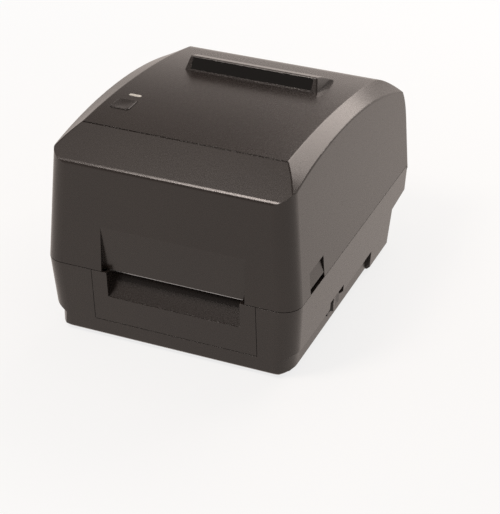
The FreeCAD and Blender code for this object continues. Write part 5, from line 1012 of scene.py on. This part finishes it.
@dataclass(frozen=True)
class SocketContacts:
    """The contacts in the three sockets on the slanted rear wall: pins, strips and a sleeve, gilded.

    The wall leans by 5 mm in 34 mm of height. Depths are measured out from it, so what is inside is negative.
    """

    lean: float = math.atan2(5.0, 34.0)
    proud: float = 1.0
    floor: float = -6.0
    small_round: int = 20
    large_round: int = 32
    pin_rows: tuple[int, int] = (5, 4)
    pin_pitch: float = 2.75
    pin_row: float = 3.2
    pin_radius: float = 0.5
    pin_tip: float = -1.6
    pin_taper: float = 0.6
    strip: tuple[float, float] = (0.45, 0.12)
    strip_place: tuple[float, float] = (1.4, 1.42)
    strip_tip: float = -1.5
    strip_taper: float = 0.3
    strip_nose: tuple[float, float] = (0.7, 0.5)
    sleeve_radius: float = 1.15
    sleeve_tip: float = -0.8
    sleeve_chamfer: float = 0.3

    def on_wall(self, surface: Surface, node: str) -> Surface:
        """Lay a surface drawn in plan, its outside up, on the leaning wall where a socket is.

        Y turns to down and Z to outwards, both leant by the wall's angle.

        Args:
            surface: Vertices about the socket's middle, and quads.
            node: The socket's CAD node.

        Returns:
            The surface in its place.
        """
        seat, tall = Seat.of(node), SOCKET_HALF_HEIGHTS[node]
        cos, sin = math.cos(self.lean), math.sin(self.lean)
        y = seat.high[1] - tall * sin - self.proud * cos
        z = seat.low[2] + tall * cos + self.proud * sin
        x, down, out = surface[0].T
        points = [seat.middle[0] + x, y - down * sin + out * cos, z - down * cos - out * sin]
        return np.stack(points, axis=-1), surface[1]

    def pins(self) -> Surface:
        """Shape the serial socket's nine pins in two rows, each with a tapered tip.

        Returns:
            The pins about the socket's middle.
        """
        radius, tip = self.pin_radius, self.pin_tip
        profile = rounds([(self.floor, 0.0), (self.floor, radius), (tip - self.pin_taper, radius),
                          (tip, radius / 2), (tip, 0.0)])
        places = [((np.arange(count) - (count - 1) / 2) * self.pin_pitch, row)
                  for count, row in zip(self.pin_rows, (-self.pin_row, self.pin_row))]
        return joined([stacked(profile, np.array([x, row, 0.0]), count=self.small_round)
                       for across, row in places for x in across])

    def strips(self) -> Surface:
        """Shape the USB socket's four strips, two on each face of its tongue.

        Returns:
            The strips about the socket's middle.
        """
        (wide, deep), tip = self.strip, self.strip_tip
        nose_wide, nose_deep = wide * self.strip_nose[0], deep * self.strip_nose[1]
        levels = [(self.floor, 0.0, 0.0, 0.0), (self.floor, wide, deep, deep),
                  (tip - self.strip_taper, wide, deep, deep), (tip, nose_wide, nose_deep, nose_deep),
                  (tip, 0.0, 0.0, 0.0)]
        x, y = self.strip_place
        return joined([stacked(levels, np.array([right * x, up * y, 0.0]), count=self.small_round)
                       for right in (-1, 1) for up in (-1, 1)])

    def pin_sleeve(self) -> Surface:
        """Shape the sleeve on the power inlet's centre pin, with a chamfered end.

        Returns:
            The sleeve about the socket's middle.
        """
        radius, tip, chamfer = self.sleeve_radius, self.sleeve_tip, self.sleeve_chamfer
        profile = rounds([(self.floor, 0.0), (self.floor, radius), (tip - chamfer, radius),
                          (tip, radius - chamfer), (tip, 0.0)])
        return stacked(profile, np.zeros(3), count=self.large_round)

    def build(self) -> None:
        """Set the contacts in their sockets as one piece."""
        contacts = [self.on_wall(self.pins(), "serial_port"), self.on_wall(self.strips(), "usb_port"),
                    self.on_wall(self.pin_sleeve(), "dc_inlet")]
        add_piece("gilded_socket_contacts", joined(contacts), GOLD, "base", "socket_shell")


@dataclass(frozen=True)
class KeyBoardParts:
    """What the control board carries: a snap dome under the key's stem and a lamp under the light pipe."""

    dome_radius: float = 3.6
    dome_height: float = 0.45
    dome_rim: float = 0.1
    lamp: tuple[float, float, float] = (1.6, 0.8, 1.1)
    lamp_edge: float = 0.2

    def build(self) -> None:
        """Set the dome under the key and the lamp under the lens, on the board."""
        lift = np.array([0.0, 0.0, Seat.of("control_board").high[2]])
        radius, rim = self.dome_radius, self.dome_rim
        disc = np.vstack([rounds([(0.0, 0.0), (0.0, radius)]),
                          dished(rim, rim - self.dome_height, radius, radius, radius)])
        dome = stacked(disc, Seat.of("feed_button").axis + lift)
        add_piece("snap_dome", dome, STEEL, "cover", "steel")
        (wide, deep, tall), edge = self.lamp, self.lamp_edge
        levels = [(0.0, 0.0, 0.0, 0.0), (0.0, wide, deep, edge), (tall - edge, wide, deep, edge),
                  (tall, wide - edge, deep - edge, edge / 2), (tall, 0.0, 0.0, 0.0)]
        lamp = stacked(levels, Seat.of("led_lens").axis + lift)
        add_piece("indicator_lamp", lamp, LIGHT_PIPE, "cover", "lens")


def dress_nodes(nodes: dict[str, bpy.types.Object]) -> None:
    """Give each CAD node its finish.

    Args:
        nodes: The CAD objects by name.
    """
    for finish, names in NODE_FINISHES.items():
        for name in names:
            mesh = nodes[name].data
            mesh.materials.clear()
            mesh.materials.append(finish.material())
            LOG.info("%s: %s", name, finish.name)


def main() -> None:
    """Load the frame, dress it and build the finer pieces."""
    logging.basicConfig(level=logging.INFO, format="%(name)s %(message)s")
    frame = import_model()
    dress_nodes(frame["nodes"])
    FeedKey().build()
    IndicatorLens().build()
    RubberFeet().build(frame["nodes"])
    CaseScrews().build(frame["nodes"])
    PlatenSleeve().build()
    PowerRocker().build(frame["record"])
    SocketContacts().build()
    KeyBoardParts().build()
    Studio().build()


if __name__ == "__main__":
    main()
